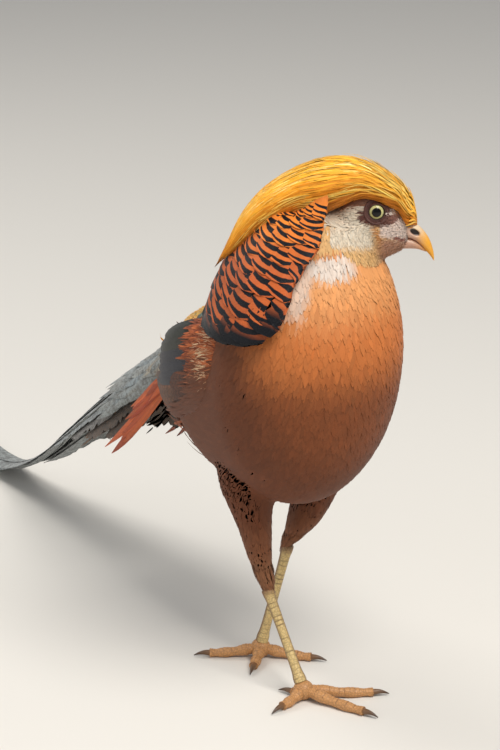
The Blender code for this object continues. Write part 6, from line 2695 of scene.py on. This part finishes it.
@dataclass
class Leg:
    """One bare leg: shank with scutes, foot with padded toes, and claws."""

    side: str
    hock_radius: float = 5.4
    palm_height: float = 8.0
    claw_length: float = 11.0
    shank_scutes: float = 21.0
    toe_scutes: float = 16.0
    floor_gap: float = 0.02
    toe_radii: tuple[float, float] = (4.4, 2.9)
    palm_radii: tuple[float, float] = (7.0, 6.8)
    claw_radius: float = 2.1
    end_bulge: float = 0.8
    toes = ("inner", "middle", "outer", "hind")

    def shank(self) -> None:
        """Makes the shank; its front is ridged by about 20 scutes that overlap downward."""
        hock, joint = (np.array(end, dtype=float) for end in SHANKS[self.side])
        shape = Track(tuple(zip((-0.02, 0.0, 0.05, 0.14, 0.5, 0.84, 0.95, 1.0),
                                (0.6, 0.8, 0.78, 0.66, 0.6, 0.64, 0.8, 0.8))))
        share = np.linspace(0, 1, 240)
        place, size = np.moveaxis(shape.at(share), -1, 0)
        line = hock + (joint - hock) * place[:, None]
        rings, _ = tube_rings(line, size * self.hock_radius, 40)
        middle = line[:, None]
        phase = (place * self.shank_scutes) % 1.0
        scute = (phase ** 0.6 - 0.35) * ease(0.0, 0.06, place) * 0.07
        forward = ease(0.2, 0.8, (unit(rings - middle) @ np.array((0.94, -0.34, 0.0))))
        rings = middle + (rings - middle) * (1.0 + scute[:, None, None] * forward[..., None])
        made = lathe_form("scuted_shank_" + self.side, rings, end_middles(rings))
        seam = ease(0.12, 0.0, phase)[:, None] * forward
        # Paler on the front and darker on the sides: painted highlight on the lit front, painted shade on the
        # sides.
        tint = mix(paint(136, 104, 66), paint(204, 176, 118), forward)
        tint = mix(tint, paint(116, 74, 46), ease(0.1, 0.0, place)[:, None] * 0.8)
        tint = mix(tint, paint(96, 72, 42), seam * 0.8)
        set_ring_tint(made, tint)
        take_over(made, Slot.LEG, ScuteFinish().make(), "shank_" + self.side)

    def toe_line(self, toe: int) -> tuple[Array, Array]:
        """Reads a toe's middle line from the palm to its claw's root, and its direction.

        Args:
            toe: number of the toe, from the inner one.

        Returns:
            Points of the line, and the toe's direction.
        """
        foot = FEET[self.side]
        palm = np.array(foot[0])
        reach = np.array(foot[toe + 1]) - palm
        ahead = unit(reach)
        length = np.linalg.norm(reach) - self.claw_length
        share = np.array((0.0, 0.22, 0.5, 0.8, 1.0))
        heights = np.array((self.palm_height - 1.0, 5.6, 3.9, 3.0, 3.0))
        flat = palm + ahead * (length * share)[:, None]
        return np.column_stack((flat, heights)), np.array((*ahead, 0.0))

    def foot(self) -> None:
        """Makes the palm and the toes, each padded below and scuted above."""
        for toe, label in enumerate(self.toes):
            line, ahead = self.toe_line(toe)
            share = np.linspace(0, 1, 120)
            fine = Track(tuple(map(tuple, line))).at(share)
            first, last = self.toe_radii
            radii = first + (last - first) * share
            radii = radii * (1 + 0.1 * np.cos(share * 6 * math.pi))
            rings, turn = tube_rings(fine, radii, 32, 0.92)
            phase = (share * self.toe_scutes) % 1.0
            top = ease(-0.1, 0.6, np.cos(turn))
            scute = 1.0 + (phase**0.6 - 0.35)[:, None] * 0.09 * top
            rings = fine[:, None] + (rings - fine[:, None]) * scute[..., None]
            rings[..., 2] = np.maximum(rings[..., 2], self.floor_gap)
            root, end = end_middles(rings)
            name = "toe_{}_{}".format(self.side, label)
            made = lathe_form(name, rings, (root, end + ahead * self.end_bulge))
            seam = ease(0.14, 0.0, phase)[:, None] * top
            tint = mix(paint(196, 142, 88), paint(120, 80, 48), seam * 0.8)
            set_ring_tint(made, tint)
            take_over(made, Slot.LEG, ScuteFinish("toe skin", 520.0).make(), "foot_" + self.side)
            self.claw(toe, label)
        palm = np.array((*FEET[self.side][0], self.palm_height - 1.4))
        polar, turn = lattice(np.linspace(0.02, 0.98, 40) * math.pi, corners_round(48))
        wide, tall = self.palm_radii
        ball = np.stack((np.sin(polar) * np.cos(turn) * wide, np.sin(polar) * np.sin(turn) * wide,
                         np.cos(polar) * tall), axis=-1) + palm
        ball[..., 2] = np.maximum(ball[..., 2], self.floor_gap)
        made = lathe_form("palm_" + self.side, ball,
                          (palm + (0, 0, tall), palm * (1, 1, 0) + (0, 0, self.floor_gap)))
        set_plain_tint(made, paint(190, 138, 86))
        take_over(made, Slot.LEG, ScuteFinish("toe skin", 520.0).make(), "foot_" + self.side)

    def claw(self, toe: int, label: str) -> None:
        """Makes one claw, arched down to its tip.

        Args:
            toe: number of the toe, from the inner one.
            label: the toe's name.
        """
        line, ahead = self.toe_line(toe)
        share = np.linspace(-0.25, 1.0, 50)
        grown = np.maximum(share, 0.0)
        arched = 0.9 * np.sin(math.pi * grown) - 1.6 * grown
        spine = line[-1] + ahead * (self.claw_length * share)[:, None]
        spine = spine + np.array((0, 0, 1.0)) * arched[:, None]
        radii = self.claw_radius * (1.0 - 0.86 * grown**1.3)
        rings, _ = tube_rings(spine, radii, 24)
        name = "claw_{}_{}".format(self.side, label)
        rings[..., 2] = np.maximum(rings[..., 2], self.floor_gap)
        made = lathe_form(name + "_horn", rings, (spine[0] - ahead * self.end_bulge, spine[-1] + ahead * 0.2))
        tint = mix(paint(120, 86, 56), paint(60, 44, 34), np.repeat(grown, 24))
        set_tint(made, np.vstack((tint, tint[:1], tint[-1:])))
        take_over(made, Slot.CLAW, HornFinish("claw horn", 0.35).make(), name)

    def build(self) -> None:
        """Makes the shank, the foot and the claws."""
        self.shank()
        self.foot()


@dataclass
class Studio:
    """A pale floor, soft lights and the camera at the photograph's angle."""

    azimuth: float = math.radians(60.0)
    elevation: float = math.radians(18.5)
    distance: float = 1.733
    focal: float = 2600.0
    anchor: tuple[float, float] = (277.0, 385.0)
    anchor_height: float = 0.205
    picture: tuple[float, float] = (500.0, 750.0)
    sensor: float = 36.0
    floor_reach: float = 6.0
    lamps: tuple = (
        ("key", (1.5, 0.1, 2.0), 1.2, 48.0, (1.0, 0.97, 0.93)),
        ("fill", (0.3, -1.9, 0.9), 1.6, 7.0, (0.94, 0.97, 1.0)),
        ("rim", (-1.2, -0.5, 1.8), 1.0, 16.0, (1.0, 0.98, 0.95)),
    )

    def build(self) -> None:
        """Makes floor, lights and camera."""
        floor = bpy.data.meshes.new("floor")
        far = self.floor_reach
        floor.from_pydata([(-far, -far, 0), (far, -far, 0), (far, far, 0), (-far, far, 0)], [],
                          [(0, 1, 2, 3)])
        plate = bpy.data.objects.new("floor", floor)
        bpy.context.scene.collection.objects.link(plate)
        tree = Tree("floor")
        tree.wire("Base Color", (*paint(224, 220, 212), 1.0))
        tree.wire("Roughness", 0.75)
        floor.materials.append(tree.material)
        world = bpy.data.worlds.new("studio")
        world.use_nodes = True
        sky = world.node_tree.nodes["Background"].inputs
        sky["Color"].default_value = (0.86, 0.88, 0.92, 1.0)
        sky["Strength"].default_value = 0.38
        bpy.context.scene.world = world
        bpy.context.scene.view_settings.view_transform = "Standard"
        for lamp in self.lamps:
            self.light(*lamp)
        self.camera()

    def light(self, name: str, place: tuple, size: float, power: float, colour: Colour) -> None:
        """Adds one square light that faces the bird.

        Args:
            name: the lamp's name.
            place: its place in metres.
            size: length of its side.
            power: its power in watts.
            colour: linear colour.
        """
        lamp = bpy.data.lights.new(name, "AREA")
        lamp.energy = power
        lamp.size = size
        lamp.color = colour
        made = bpy.data.objects.new(name, lamp)
        made.location = place
        made.rotation_euler = (Vector((0.2, 0.0, 0.2)) - Vector(place)).to_track_quat("-Z", "Y").to_euler()
        bpy.context.scene.collection.objects.link(made)

    def camera(self) -> None:
        """Sets the camera so that a point over the bird's feet falls on its place in the picture."""
        right = np.array((math.cos(self.azimuth), math.sin(self.azimuth), 0.0))
        level = np.array((math.sin(self.azimuth), -math.cos(self.azimuth), 0.0))
        back = level * math.cos(self.elevation) + np.array((0, 0, math.sin(self.elevation)))
        up = np.cross(back, right)
        across = (self.anchor[0] - self.picture[0] / 2) * self.distance / self.focal
        above = (self.picture[1] / 2 - self.anchor[1]) * self.distance / self.focal
        place = np.array((0, 0,
                          self.anchor_height)) + back * self.distance - right * across - up * above + SHIFT
        lens = bpy.data.cameras.new("camera")
        lens.sensor_width = self.sensor
        lens.lens = self.focal / self.picture[1] * self.sensor
        made = bpy.data.objects.new("camera", lens)
        made.matrix_world = Matrix.LocRotScale(Vector(place),
                                               Matrix((right, up, back)).transposed().to_quaternion(),
                                               None)
        bpy.context.scene.collection.objects.link(made)
        bpy.context.scene.camera = made


def main() -> None:
    """Builds the bird from skin to plumage, then the studio."""
    logging.basicConfig(level=logging.INFO, format="%(message)s")
    rng = np.random.default_rng(SEED)
    skin = Skin()
    SkinCoat(lie=Lie(skin.build())).build(rng)
    Crest().build(rng)
    Cape(ground=Ground.of_surfaces(0.3)).build(rng)
    Back().build(rng)
    for side in (1, -1):
        Wing(side).build(rng)
        Eye(side).build()
    Tail().build(rng)
    Coverts().build(rng)
    Bill().build()
    for side in ("left", "right"):
        Leg(side).build()
    Studio().build()


if __name__ == "__main__":
    main()
